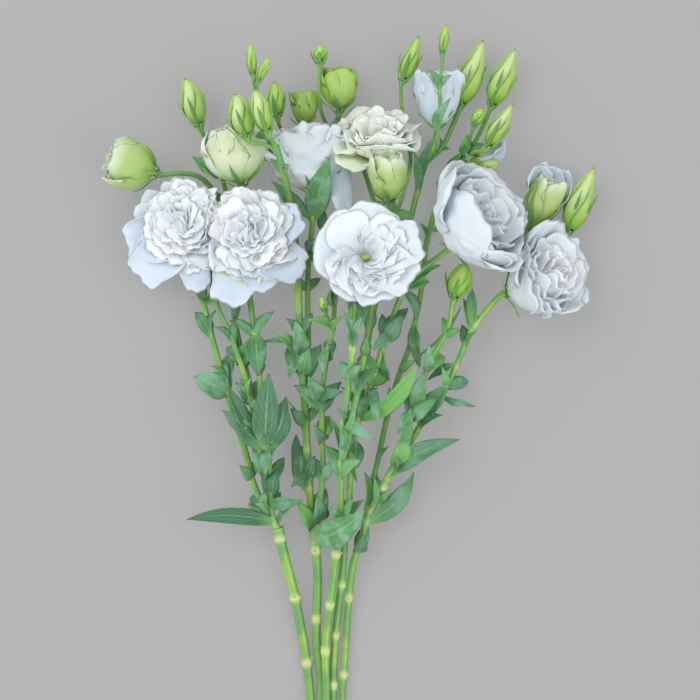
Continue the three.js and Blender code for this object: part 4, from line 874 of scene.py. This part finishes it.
# the line that a petal's middle follows: how far out, how high and how much it leans there
def meridian(layer, reach):
    steps = 10
    out = np.full_like(reach, layer["start"], dtype=float)
    height = np.full_like(reach, layer["lift"], dtype=float)
    lean = lambda share: np.radians(mix(layer["leanFoot"], layer["leanRim"], share ** layer["bend"]))
    for step in range(steps):
        there = lean(reach * (step + 0.5) / steps)
        out = out + layer["spread"] * np.sin(there) * layer["length"] * reach / steps
        height = height + layer["rise"] * np.cos(there) * layer["length"] * reach / steps
    return out, height, lean(reach)


def petalSheet(flower, layer, angle, draw):
    u, v = sheetGrid(*layer["grid"])
    teeth = np.sin(u * draw(4, 7) + draw(0, 6)) + 0.6 * np.sin(u * draw(11, 16) + draw(0, 6))
    rim = 1 - layer["round"] * abs(u) ** 2.2 - layer["corner"] * abs(u) ** 8
    out, height, lean = meridian(layer, v * (rim + layer["notch"] * teeth * v ** 2))
    curve = np.maximum(out, 0.5) * layer["cup"]
    half = np.minimum(layer["width"], math.pi / layer["count"] * layer["overlap"] * curve)
    half = half * (1 - 0.2 * smoothStep(0.7, 1, v) * abs(u))
    bend = u * half / curve
    right, ahead = u * half, v * layer["length"]
    phase = layer["freeWaves"] * draw(0, 6)
    wave = layer["ruffle"] * v ** 2 * np.sin((angle + bend) * layer["waves"] + phase)
    wobble = draw(0, 6) + 1.3 * np.sin(right / layer["pitch"] * 1.7 + draw(0, 6))
    frill = layer["frill"] * v ** 4 * np.sin(right / layer["pitch"] * fullTurn + wobble)
    rough = unevenness(draw, right, ahead, layer["crumplePitch"])
    crumple = layer["crumple"] * smoothStep(*layer["crumpleReach"], v) * rough
    curl = layer["curl"] * smoothStep(*layer["curlReach"], v) ** 2 * (0.6 + 0.8 * u * u)
    shift = wave + frill + crumple + curl + u * mix(*layer["spiral"], v)
    turned, beside = angle, curve * np.sin(bend)
    if layer["fan"]:
        turned, beside = angle + u * half / np.maximum(out, 0.5), 0
    else:
        shift = shift - curve * (1 - np.cos(bend))
    out, high = out + shift * np.cos(lean), height - shift * np.sin(lean)
    places = placeIn(flower, out, high, turned, beside)
    risen = np.maximum(height, 0) / rules["driftHeight"]
    places = places + (risen ** 2)[..., None] * np.array(flower.get("drift", (0, 0, 0)), float)
    return pressed(places, flower.get("presses", ()), layer["depth"])


def petalAngles(layer, roll, draw):
    if layer["angles"]:
        return [math.radians(angle) for angle in layer["angles"]]
    turn = fullTurn / layer["count"]
    offset = 0.5 * math.ceil(layer["depth"])
    return [(k + offset) * turn + roll + layer["jitter"] * draw(-1, 1) for k in range(layer["count"])]


def addPetals(pile, flower, layers):
    draw, finer = drawsFrom(flower["seed"]), drawsFrom(flower["seed"] + 100)
    scale = flower.get("scale", 1)
    for values in layers:
        layer = {**petalDefaults, **values}
        toward, stretch = layer["hood"]
        for angle in petalAngles(layer, flower.get("roll", 0), draw):
            share = (0.5 + 0.5 * math.cos(angle - math.radians(toward))) ** 1.5
            own = dict(layer)
            own["length"] *= scale * draw(0.95, 1.04) * (1 + stretch * share)
            own["width"] *= scale
            own["leanRim"] += layer["loose"] * draw(-1, 1)
            own["lift"] += rules["layerRise"] * layer["depth"]
            tint = finer(-1, 0.2) if layer["tint"] is None else layer["tint"] + finer(-0.2, 0.2)
            if "greener" in flower:
                tint -= max(0, math.cos(angle - math.radians(flower["greener"])))
            addBlade(pile, petalSheet(flower, own, angle, finer), layer["thickness"], tint)


# buds: petals wound round each other in a spiral over a closed core

budShape = dict(
    petals=5, overlap=1.75, step=0.1, lip=0.35, coreShare=0.86, coreLength=0.97, coreRings=25,
    coreSides=20, coreTint=-0.6, budFoot=1.6, seatGap=0.3, smallRadius=6, smallGrid=(8, 16),
    thickness=0.5,
    closed=dict(long=1, wide=1, tip=0.25, twist=1.5, belly=0.55, taper=0.75, grid=(14, 24)),
    opening=dict(long=0.91, wide=0.8, tip=0.2, twist=2.4, belly=0.9, taper=0.5, grid=(10, 20)),
    footLean=70,  # of an opening bud's outer petals
)


# how wide a bud is along its length; a smaller belly is rounder at the foot, and a smaller taper
# is blunter at the tip
def budOutline(v, belly, taper):
    widest = belly / (belly + taper)
    return (v / widest) ** belly * ((1 - v) / (1 - widest)) ** taper


def addBudBody(pile, flower):
    shape, body = budShape, budShape[flower["form"]]
    length, radius = flower["length"] * body["long"], flower["width"] * body["wide"] / 2
    outline = (body["belly"], flower.get("taper", body["taper"]))
    draw = drawsFrom(flower.get("seed", 1) + 50)
    v = np.linspace(0, 1, shape["coreRings"])[:, None]
    out = np.maximum(radius * shape["coreShare"] * budOutline(v, *outline), 0.3)
    high = mix(shape["seatGap"], length * shape["coreLength"], v)
    core = placeIn(flower, out, high, ringAngles(shape["coreSides"]))
    addSkin(pile, pressed(core), shape["coreTint"])
    u, v = sheetGrid(*(body["grid"] if radius > shape["smallRadius"] else shape["smallGrid"]))
    for k in range(shape["petals"]):
        reach = draw(0.96, 1.0)
        away = budOutline(v * 0.985, *outline) * radius * (1 - shape["step"] + shape["step"] * u)
        rim = shape["lip"] * smoothStep(0.8, 1.0, v) * (1 + u) + body["tip"]
        out = np.maximum(away, rim * (0.5 + 0.5 * v))
        out = np.maximum(out, shape["budFoot"] * (1 - v))
        high = mix(shape["seatGap"], length * reach * (1 - 0.06 * u * u), v)
        angle = (fullTurn * k + math.pi * shape["overlap"] * u) / shape["petals"] + body["twist"] * v
        places = placeIn(flower, out, high, angle)
        addBlade(pile, pressed(places), shape["thickness"], draw(-1, 1))


# the outer petals of a bud that has begun to open, from its width and length
def openingLayers(flower):
    leanFoot, leanRim = budShape["footLean"], flower.get("closing", -34)
    low, high = math.radians(leanFoot), math.radians(leanRim)
    spread = (flower["width"] / 2 - petalDefaults["start"]) / (1 - math.cos(low))
    rise = (flower["length"] - petalDefaults["lift"]) / (math.sin(low) - math.sin(high))
    flare, layers = flower.get("flare", 1.6), []
    for inward, lower, width, depth, curl, tint in (
        (1, 1, 0.76, 0, flare, None), (0.86, 0.97, 0.55, 0.5, flare / 2, -0.4),
        (0.68, 0.95, 0.45, 0.9, 0.6, 0.4), (0.48, 0.94, 0.34, 1.4, 0.2, -0.2),
    ):
        layers.append(petals(
            bare, flower.get("count", 3), low - high, flower["width"] * width, leanFoot, leanRim,
            spread=spread * inward, rise=rise * lower, ruffle=0.6, frill=0.5, overlap=1.5,
            crumple=0.7, round=flower.get("round", 0.16), spiral=(0.8, 1.8), depth=depth, curl=curl,
            tint=tint, grid=(18, 20),
        ))
    return layers


def layersOf(flower):
    return openingLayers(flower) if flower["form"] == "opening" else petalLayers[flower["form"]]


# A tube stands round a flower's axis, and its profile says how far out and how high it goes. One
# is the short tube at a flower's foot, in which its petals meet, and the other is the pistil in the
# middle of an open flower, with two lobes at its top.
seatShape = dict(
    sides=16, lobes=0, lobesAbove=0, profile=((1.7, 0.3), (2.6, 2), (3, 5), (2.4, 7), (1.4, 8.5)),
)
pistilShape = dict(
    sides=18, lobes=0.3, lobesAbove=17,
    profile=((1.1, 8.8), (1.7, 10.5), (1.5, 12), (0.8, 14), (0.8, 16.5), (1.9, 18.2), (2.1, 19),
             (1.2, 20.2)),
)


def addTube(pile, flower, shape, tint):
    turn = ringAngles(shape["sides"])
    rings = []
    for out, height in shape["profile"]:
        lobes = 1 + shape["lobes"] * np.cos(2 * turn) * (height > shape["lobesAbove"])
        rings.append(placeIn(flower, out * lobes, height, turn))
    addSkin(pile, np.array(rings), tint)


def makeFlower(name, flower):
    pile, material = newPile(), flower["material"]
    if "width" in flower:
        addBudBody(pile, flower)
    else:
        addTube(pile, flower, seatShape, 0.0)
    if flower["form"] != "closed":
        addPetals(pile, flower, layersOf(flower))
    makePiece(name + "_petals", pile, skins[material], name)
    if "beside" in flower:
        own = {**flower, **flower.get("besideValues", {})}
        own["axes"] = axesOf(own)
        pile = newPile()
        addPetals(pile, own, petalLayers[flower["beside"]])
        makePiece(name + "_" + flower["beside"], pile, skins["white"], name)
    if "pistil" in flower:
        pile, pistil = newPile(), name.replace("bloom", "pistil")
        addTube(pile, flower, pistilShape, 0.2)
        makePiece(pistil, pile, skins["pistil"], pistil)


# sepals: narrow, keeled and pointed, standing close to the flower's outside

sepalShape = dict(
    count=5, halfWidth=1.5, smallShare=0.5, thickness=0.7, grid=(4, 16), foot=0.8, sink=1.5,
    hug=0.46, hugGap=(1.0, 3.0), keel=0.5, jitter=0.2, reach=(0.85, 1.06),
)


def isSmall(flower):
    return flower.get("width", 99) < rules["smallBud"]


def cupOf(flower):
    return rules["smallCupRadius"] if isSmall(flower) else rules["cupRadius"]


# where a sepal stands at its middle and its tip: how far out and how high
def sepalLine(flower):
    gap = rules["sepalClearance"]
    if "width" in flower:
        half, length = flower["width"] / 2, flower["length"]
        if isSmall(flower):
            return [(half * 0.95, length * 0.12), (half * 0.85, length * 0.66)]
        return [(half * 0.7 + gap, length * 0.06), (half + 1.5 * gap, length * 0.62)]
    outer = {**petalDefaults, **layersOf(flower)[0]}
    line = []
    for v in (0.1, 0.44):
        out, height, lean = meridian(outer, np.array(v))
        away = gap * (1 + 2 * v)
        line.append((float(out + away * np.cos(lean)), float(height - away * np.sin(lean))))
    return line


def addSepals(pile, flower, seed):
    shape, draw = sepalShape, drawsFrom(seed)
    u, v = sheetGrid(*shape["grid"])
    sink = shape["sink"]
    (midOut, midHigh), (tipOut, tipHigh) = sepalLine(flower)
    midHigh = mix(midHigh, tipHigh, 0.35)
    hug = flower.get("hug", shape["hug"] if flower["form"] == "opening" else 0)
    for k in range(shape["count"]):
        reach = draw(*shape["reach"])
        angle = fullTurn * k / shape["count"] + draw(-shape["jitter"], shape["jitter"])
        if hug:
            outer = {**petalDefaults, **layersOf(flower)[0]}
            out, high, lean = meridian(outer, v * reach * hug)
            away = mix(*shape["hugGap"], v)
            out, high = out + away * np.cos(lean), high - away * np.sin(lean)
            high = mix(-sink, high, smoothStep(0, 0.2, v))
        else:
            # a curve through the foot, the middle and the tip
            first, second, third = (1 - v) ** 2, 2 * v * (1 - v), v * v
            out = cupOf(flower) * shape["foot"] * first + second * midOut * 1.15 + third * tipOut
            high = (sink - sink * first + second * midHigh + third * tipHigh) * reach - sink
        half = shape["halfWidth"] * (shape["smallShare"] if isSmall(flower) else 1)
        half = half * np.sin(math.pi * (0.16 + 0.84 * v)) ** 0.8 * (1 - 0.3 * v) + 0.05
        angle = angle + flower.get("sepalSwing", 0) * (-1) ** k * v
        lifted = shape["keel"] * (1 - abs(u)) * (1 - v)
        places = placeIn(flower, out + lifted, high, angle, u * half)
        addBlade(pile, pressed(places), shape["thickness"], draw(-1, 1))


# leaves; a leaf's own values stand in for these

leafShape = dict(
    sinkDepth=1.5, widest=0.4, footShare=0.25, fullness=0.85, thickness=0.55, grid=(10, 22),
    wave=1.4, waveCount=(7, 12), waveSlant=(0.5, 2), roughness=0.6, roughPitch=12, fold=20, arch=3,
    sway=0, tints=(-0.8, 0.8),
)


def leafOutline(v):
    shape = leafShape
    quarter = math.pi / 2
    opening = shape["footShare"] + (1 - shape["footShare"]) * np.sin(quarter * v / shape["widest"])
    closing = np.cos(quarter * np.clip((v - shape["widest"]) / (1 - shape["widest"]), 0, 1))
    return np.where(v < shape["widest"], opening, np.maximum(closing, 0.02) ** shape["fullness"])


def addLeaf(pile, foot, tip, width, turn, shape, draw):
    start, tip = np.array(foot, float), np.array(tip, float)
    along = unit(tip - start)
    length = np.linalg.norm(tip - start) + shape["sinkDepth"]
    start = start - along * shape["sinkDepth"]
    flat = unit(np.cross(skyward, along))
    face = np.cross(along, flat)
    turn, fold = math.radians(turn), math.radians(shape["fold"])
    side = flat * math.cos(turn) + face * math.sin(turn)
    up = face * math.cos(turn) - flat * math.sin(turn)
    u, v = sheetGrid(*shape["grid"])
    half = width / 2 * leafOutline(v)
    bow = 4 * v * (1 - v)
    valley = np.sqrt(u * u + 0.01) - 0.1  # a fold with a round bottom
    waves = shape["wave"] * width / 12 * bow * abs(u) ** 3
    wave = waves * np.sin(v * draw(*shape["waveCount"]) + u * draw(*shape["waveSlant"]) + draw(0, 6))
    rough = unevenness(draw, u * half, v * length, shape["roughPitch"])
    lift = shape["arch"] * bow + valley * half * math.sin(fold) + wave + shape["roughness"] * rough * bow
    shift = shape["sway"] * bow + u * half * math.cos(fold)
    places = start + along * (length * v)[..., None] + up * lift[..., None] + side * shift[..., None]
    addBlade(pile, pressed(places), shape["thickness"], shape.get("tint", draw(*shape["tints"])))


def makeLeaves(name, stem):
    pile = newPile()
    for number, (foot, tip, width, turn, *own) in enumerate(stem["leaves"]):
        shape = {**leafShape, **dict(*own)}
        addLeaf(pile, foot, tip, width, turn, shape, drawsFrom(number * 7 + len(name)))
    makePiece(name + "_leaves", pile, skins["leaf"], name)


def makeSepals(name, stem):
    pile = newPile()
    for carries, *others in stem["shoots"]:
        if carries:
            addSepals(pile, flowers[carries], flowers[carries].get("seed", len(carries)))
    makePiece(name + "_sepals", pile, skins["sepal"], name)


# stems: a round, faintly ridged section swept along each shoot by Geometry Nodes

sweepShape = dict(
    step=2.5, sides=18, ridgeDepth=0.03, jointSwelling=0.36, jointReach=2.4, cutPaleness=0.9,
    leafReach=6, leafJoint=0.16, leafPaleness=0.45, flare=5, shade=0.15, shadeLength=31,
)


def newTree(name, inputs):
    tree = bpy.data.node_groups.new(name, "GeometryNodeTree")
    tree.interface.new_socket("Geometry", in_out="INPUT", socket_type="NodeSocketGeometry")
    tree.interface.new_socket("Geometry", in_out="OUTPUT", socket_type="NodeSocketGeometry")
    for label, kind in inputs.items():
        tree.interface.new_socket(label, in_out="INPUT", socket_type=kind)
    return tree, tree.nodes.new("NodeGroupInput").outputs


# ends a tree in smooth real geometry with its material
def endTree(tree, made, material):
    smooth = addNode(tree, "GeometryNodeSetShadeSmooth", {"Geometry": made})
    real = addNode(tree, "GeometryNodeRealizeInstances", {"Geometry": smooth})
    painted = addNode(tree, "GeometryNodeSetMaterial", {"Geometry": real, "Material": material})
    tree.links.new(painted, tree.nodes.new("NodeGroupOutput").inputs["Geometry"])
    return tree


# makes the plain mesh of a tree that works on a piece, lays what would reach under the surface
# flat on it, and finishes the piece
def finishTree(piece, tree, values, node):
    modifier = piece.modifiers.new(tree.name, "NODES")
    modifier.node_group = tree
    for item in tree.interface.items_tree:
        if item.in_out == "INPUT" and item.name in values:
            modifier[item.identifier] = values[item.name]
    evaluated = piece.evaluated_get(bpy.context.evaluated_depsgraph_get())
    mesh = bpy.data.meshes.new_from_object(evaluated)
    piece.modifiers.remove(modifier)
    piece.data = mesh
    for vertex in mesh.vertices:
        vertex.co.z = max(vertex.co.z, 0)
    finish(piece, node)


def sweepTree():
    tree, given = newTree("stemSweep", {
        "Sides": "NodeSocketInt", "Ridges": "NodeSocketInt", "Ridge depth": "NodeSocketFloat",
        "Material": "NodeSocketMaterial",
    })
    inputs = {"Resolution": given["Sides"], "Radius": 1.0}
    circle = addNode(tree, "GeometryNodeCurvePrimitiveCircle", inputs)
    around = addNode(tree, "GeometryNodeSplineParameter")
    inputs = {"Geometry": circle, "Name": "around", "Value": around}
    profile = addNode(tree, "GeometryNodeStoreNamedAttribute", inputs)
    depth = around
    for operation, other in (
        ("MULTIPLY", fullTurn), ("MULTIPLY", given["Ridges"]), ("SINE", 0),
        ("MULTIPLY", given["Ridge depth"]),
    ):
        depth = addNode(tree, mathNode, {0: depth, 1: other}, operation=operation)
    inputs = {0: addNode(tree, "GeometryNodeInputPosition"), "Scale": depth}
    offset = addNode(tree, "ShaderNodeVectorMath", inputs, operation="SCALE")
    ridged = addNode(tree, "GeometryNodeSetPosition", {"Geometry": profile, "Offset": offset})
    swept = addNode(tree, "GeometryNodeCurveToMesh", {
        "Curve": addNode(tree, "GeometryNodeMeshToCurve", {"Mesh": given["Geometry"]}),
        "Profile Curve": ridged, "Fill Caps": True,
        "Scale": addNode(tree, "GeometryNodeInputNamedAttribute", {"Name": "radius"}, "Attribute"),
    })
    return endTree(tree, swept, given["Material"])


# a smooth curve through the places, in centripetal Catmull-Rom spans, in steps of equal length
def smoothLine(places, step):
    places = np.array(places, float)
    ends = np.concatenate([[2 * places[0] - places[1]], places, [2 * places[-1] - places[-2]]])
    t = np.linspace(0, 1, 24, endpoint=False)[:, None]
    line = []
    for p0, p1, p2, p3 in zip(ends, ends[1:], ends[2:], ends[3:]):
        d0, d1, d2 = [max(np.linalg.norm(b - a) ** 0.5, 1e-4) for a, b in ((p0, p1), (p1, p2), (p2, p3))]
        slope1 = ((p1 - p0) / d0 - (p2 - p0) / (d0 + d1) + (p2 - p1) / d1) * d1
        slope2 = ((p2 - p1) / d1 - (p3 - p1) / (d1 + d2) + (p3 - p2) / d2) * d1
        square = (-3 * p1 + 3 * p2 - 2 * slope1 - slope2) * t ** 2
        line.append(p1 + slope1 * t + square + (2 * p1 - 2 * p2 + slope1 + slope2) * t ** 3)
    line = np.concatenate(line + [places[-1:]])
    far = np.concatenate([[0], np.cumsum(np.linalg.norm(np.diff(line, axis=0), axis=1))])
    stations = np.linspace(0, far[-1], max(3, round(far[-1] / step)))
    return np.stack([np.interp(stations, far, line[:, k]) for k in range(3)], axis=1), stations


# a shoot's places, how far along each is, how thick it is there and how much of a joint it is
def shootLine(shoot, knots):
    carries, footRadius, topRadius, *places = shoot
    shape, flower = sweepShape, flowers.get(carries)
    if flower:
        foot, axis = np.array(flower["foot"], float), unit(flower["axis"])
        places += [tuple(foot - rules["straightEnd"] * axis), tuple(foot)]
    line, stations = smoothLine(places, shape["step"])
    length = stations[-1]
    radius = mix(footRadius, topRadius, stations / length)
    joint = np.zeros(len(stations))
    for knot in knots:
        joint = np.maximum(joint, np.exp(-((stations - knot) / shape["jointReach"]) ** 2))
    radius = radius * (1 + shape["jointSwelling"] * joint)
    if knots:
        joint[0] = shape["cutPaleness"]  # the cut end is pale
    if flower:
        flare = smoothStep(length - shape["flare"], length, stations)
        radius = mix(radius, np.maximum(cupOf(flower), radius), flare)
    return line, stations, radius, joint


def makeShoots(name, stem, lines, tree):
    shape = sweepShape
    points, edges, marks, count = [], [], [], 0
    for line, stations, radius, joint in lines:
        for foot, *others in stem["leaves"]:
            gaps = np.linalg.norm(line - np.array(foot, float), axis=1)
            if gaps.min() < shape["leafReach"]:
                away = (stations - stations[gaps.argmin()]) / shape["jointReach"]
                swell = np.exp(-away ** 2)
                radius = radius * (1 + shape["leafJoint"] * swell)
                joint = np.maximum(joint, shape["leafPaleness"] * swell)
        shade = shape["shade"] * np.sin(stations / shape["shadeLength"] + count)
        points.append(line * mm)
        marks.append(np.stack([radius * mm, joint, np.clip(shade, 0, 1)], axis=1))
        edges += [(k, k + 1) for k in range(count, count + len(line) - 1)]
        count += len(line)
    mesh = bpy.data.meshes.new(name + "_shoots")
    mesh.from_pydata(np.concatenate(points).tolist(), edges, [])
    addMarks(mesh, ("radius", "joint", "shade"), np.concatenate(marks))
    finishTree(objectOf(name + "_shoots", mesh), tree, {
        "Sides": shape["sides"], "Ridges": stemLook["ridges"], "Ridge depth": shape["ridgeDepth"],
        "Material": skins["stem"],
    }, name)


# bracts: small leaves in opposite pairs at the joints of the thin shoots, each pair turned across
# the last, and stubs of fallen leaves at the swollen joints. Geometry Nodes place one small leaf.

bractShape = dict(
    interval=27, intervals=(0.8, 1.4), firstAt=9, clearTip=16, bareBelow=92, sparseAbove=290,
    sparseShare=0.62, length=(12, 25), lean=(14, 50), stubLength=3.2, stubLean=34, stubTint=2.0,
    halfWidth=0.21, arch=0.2, valley=0.35, overlap=0.06, thickness=0.035, grid=(4, 8), sunk=0.7,
    facing=(0.5, 1), lowest=1.2, sizes=(0.85, 1.1), broadness=(0.8, 1.5), tints=(-0.9, 0.9),
    strayLean=8, strayTurn=0.3,
)


# a bract that is one unit long
def makeBract():
    u, v = sheetGrid(*bractShape["grid"])
    half = bractShape["halfWidth"] * leafOutline(v)
    height = bractShape["arch"] * 4 * v * (1 - v) + abs(u) * half * bractShape["valley"]
    middle = np.stack(np.broadcast_arrays(v - bractShape["overlap"], u * half, height), axis=2)
    pile = newPile()
    addBlade(pile, middle, bractShape["thickness"])
    return objectOf("bract", meshOf("bract", pile, 1, ("across", "along")))


def bractTree():
    tree, given = newTree("bractPairs", {"Bract": "NodeSocketObject", "Material": "NodeSocketMaterial"})
    kind = "GeometryNodeInputNamedAttribute"
    inputs = {"Points": given["Geometry"]}
    for name, key in (("turn", "Rotation"), ("size", "Scale")):
        inputs[key] = addNode(tree, kind, {"Name": name}, "Attribute", data_type="FLOAT_VECTOR")
    inputs["Instance"] = addNode(tree, "GeometryNodeObjectInfo", {"Object": given["Bract"]}, "Geometry")
    return endTree(tree, addNode(tree, "GeometryNodeInstanceOnPoints", inputs), given["Material"])


# a pair of bracts on either side of a shoot: places, turns, sizes and tints are gathered in rows
def addPair(rows, place, along, radius, length, lean, azimuth, draw):
    shape = bractShape
    beside = unit(np.cross(skyward, along))
    over = np.cross(along, beside)
    for side in (azimuth, azimuth + math.pi):
        outward = beside * math.cos(side) + over * math.sin(side)
        own = math.radians(lean + draw(-shape["strayLean"], shape["strayLean"]))
        ahead = along * math.cos(own) + outward * math.sin(own)
        face = along * math.sin(own) - outward * math.cos(own)
        across = np.cross(ahead, face)
        twist = math.atan2(across[2], face[2]) * draw(*shape["facing"])  # most turn to the light
        face = face * math.cos(twist) + across * math.sin(twist)
        if place[2] + ahead[2] * length < shape["lowest"]:
            continue
        turn = Matrix((ahead, np.cross(face, ahead), face)).transposed().to_euler()
        foot = (place + outward * radius * shape["sunk"]) * mm
        tint = shape["stubTint"] if length == shape["stubLength"] else draw(*shape["tints"])
        size = length * mm * draw(*shape["sizes"])
        rows.append((*foot, *turn, size, size * draw(*shape["broadness"]), size, tint))


def makeBracts(name, stem, lines, tree, bract):
    shape, draw = bractShape, drawsFrom(len(name) * 31)
    rows, knots = [], stem["knots"]
    for line, stations, radius, joint in lines:
        slope = np.gradient(line, axis=0)
        spots = [(knot, shape["stubLength"], shape["stubLean"]) for knot in knots]
        knots = ()
        station = shape["firstAt"] + draw(0, 6)
        while station < stations[-1] - shape["clearTip"]:
            high = line[abs(stations - station).argmin()][1] > shape["sparseAbove"]
            length = draw(*shape["length"]) * (shape["sparseShare"] if high else 1)
            spots.append((station, length, draw(*shape["lean"])))
            station += shape["interval"] * (draw(*shape["intervals"]) + high)
        azimuth = draw(0, math.pi)
        for station, length, lean in spots:
            near = abs(stations - station).argmin()
            place, along = line[near], unit(slope[near])
            azimuth += math.pi / 2 + draw(-shape["strayTurn"], shape["strayTurn"])
            if place[1] >= shape["bareBelow"] or length == shape["stubLength"]:
                addPair(rows, place, along, radius[near], length, lean, azimuth, draw)
    rows = np.array(rows, np.float32)
    mesh = bpy.data.meshes.new(name + "_bracts")
    mesh.from_pydata(rows[:, :3].tolist(), [], [])
    for column, mark in ((3, "turn"), (6, "size")):
        layer = mesh.attributes.new(mark, "FLOAT_VECTOR", "POINT")
        layer.data.foreach_set("vector", np.ascontiguousarray(rows[:, column:column + 3]).ravel())
    addMarks(mesh, ["tint"], rows[:, 9:])
    values = {"Bract": bract, "Material": skins["leaf"]}
    finishTree(objectOf(name + "_bracts", mesh), tree, values, name)


# scene

for flower in flowers.values():
    flower["axes"] = axesOf(flower)
for name, flower in flowers.items():
    makeFlower(name, flower)
print("flowers:", len(flowers))

stemTree, pairTree, bract = sweepTree(), bractTree(), makeBract()
for name, stem in stems.items():
    first, *others = stem["shoots"]
    lines = [shootLine(first, stem["knots"])] + [shootLine(shoot, ()) for shoot in others]
    makeShoots(name, stem, lines, stemTree)
    makeLeaves(name, stem)
    makeBracts(name, stem, lines, pairTree, bract)
    makeSepals(name, stem)
bpy.data.objects.remove(bract)
print("stems:", len(stems))

# floor, light and camera

stage = dict(
    floor="#797979", floorGlow=0.225, floorRoughness=0.9, floorSize=6, floorSink=0.5,
    worldStrength=0.92, cameraHeight=1.917, lens=150, middle=(0.0192, 0.224), aim=(0.02, 0.25, 0.02),
    lights={
        "keySoft": ((-1.2, 0.95, 2.05), 1.8, 17.5),  # place, size and power
        "fillSoft": ((1.3, -0.5, 1.9), 2.0, 8),
    },
)

place = (0, 0, -stage["floorSink"] * mm)
bpy.ops.mesh.primitive_plane_add(size=stage["floorSize"], location=place)
floor = bpy.context.object
floor.name = "floor"
paper, paperTree = newMaterial("paperMatt")
inputs = paperTree.nodes["Principled BSDF"].inputs
inputs["Base Color"].default_value = linearColour(stage["floor"])
inputs["Roughness"].default_value = stage["floorRoughness"]
inputs["Emission Color"].default_value = (1, 1, 1, 1)
inputs["Emission Strength"].default_value = stage["floorGlow"]  # keeps the shadows pale
floor.data.materials.append(paper)

for name, (place, size, power) in stage["lights"].items():
    data = bpy.data.lights.new(name, "AREA")
    data.shape, data.size, data.energy = "DISK", size, power
    light = objectOf(name, data)
    light.location = place
    aim = Vector(np.array(stage["aim"]) - np.array(place))
    light.rotation_euler = aim.to_track_quat("-Z", "Y").to_euler()

world = bpy.data.worlds.new("studio")
bpy.context.scene.world = world
world.use_nodes = True
inputs = world.node_tree.nodes["Background"].inputs
inputs["Color"].default_value = (1, 1, 1, 1)
inputs["Strength"].default_value = stage["worldStrength"]
bpy.context.scene.view_settings.view_transform = "Standard"

cameraData = bpy.data.cameras.new("above")
cameraData.lens = stage["lens"]
cameraData.clip_end = 20
camera = objectOf("above", cameraData)
camera.location = (*stage["middle"], stage["cameraHeight"])
bpy.context.scene.camera = camera
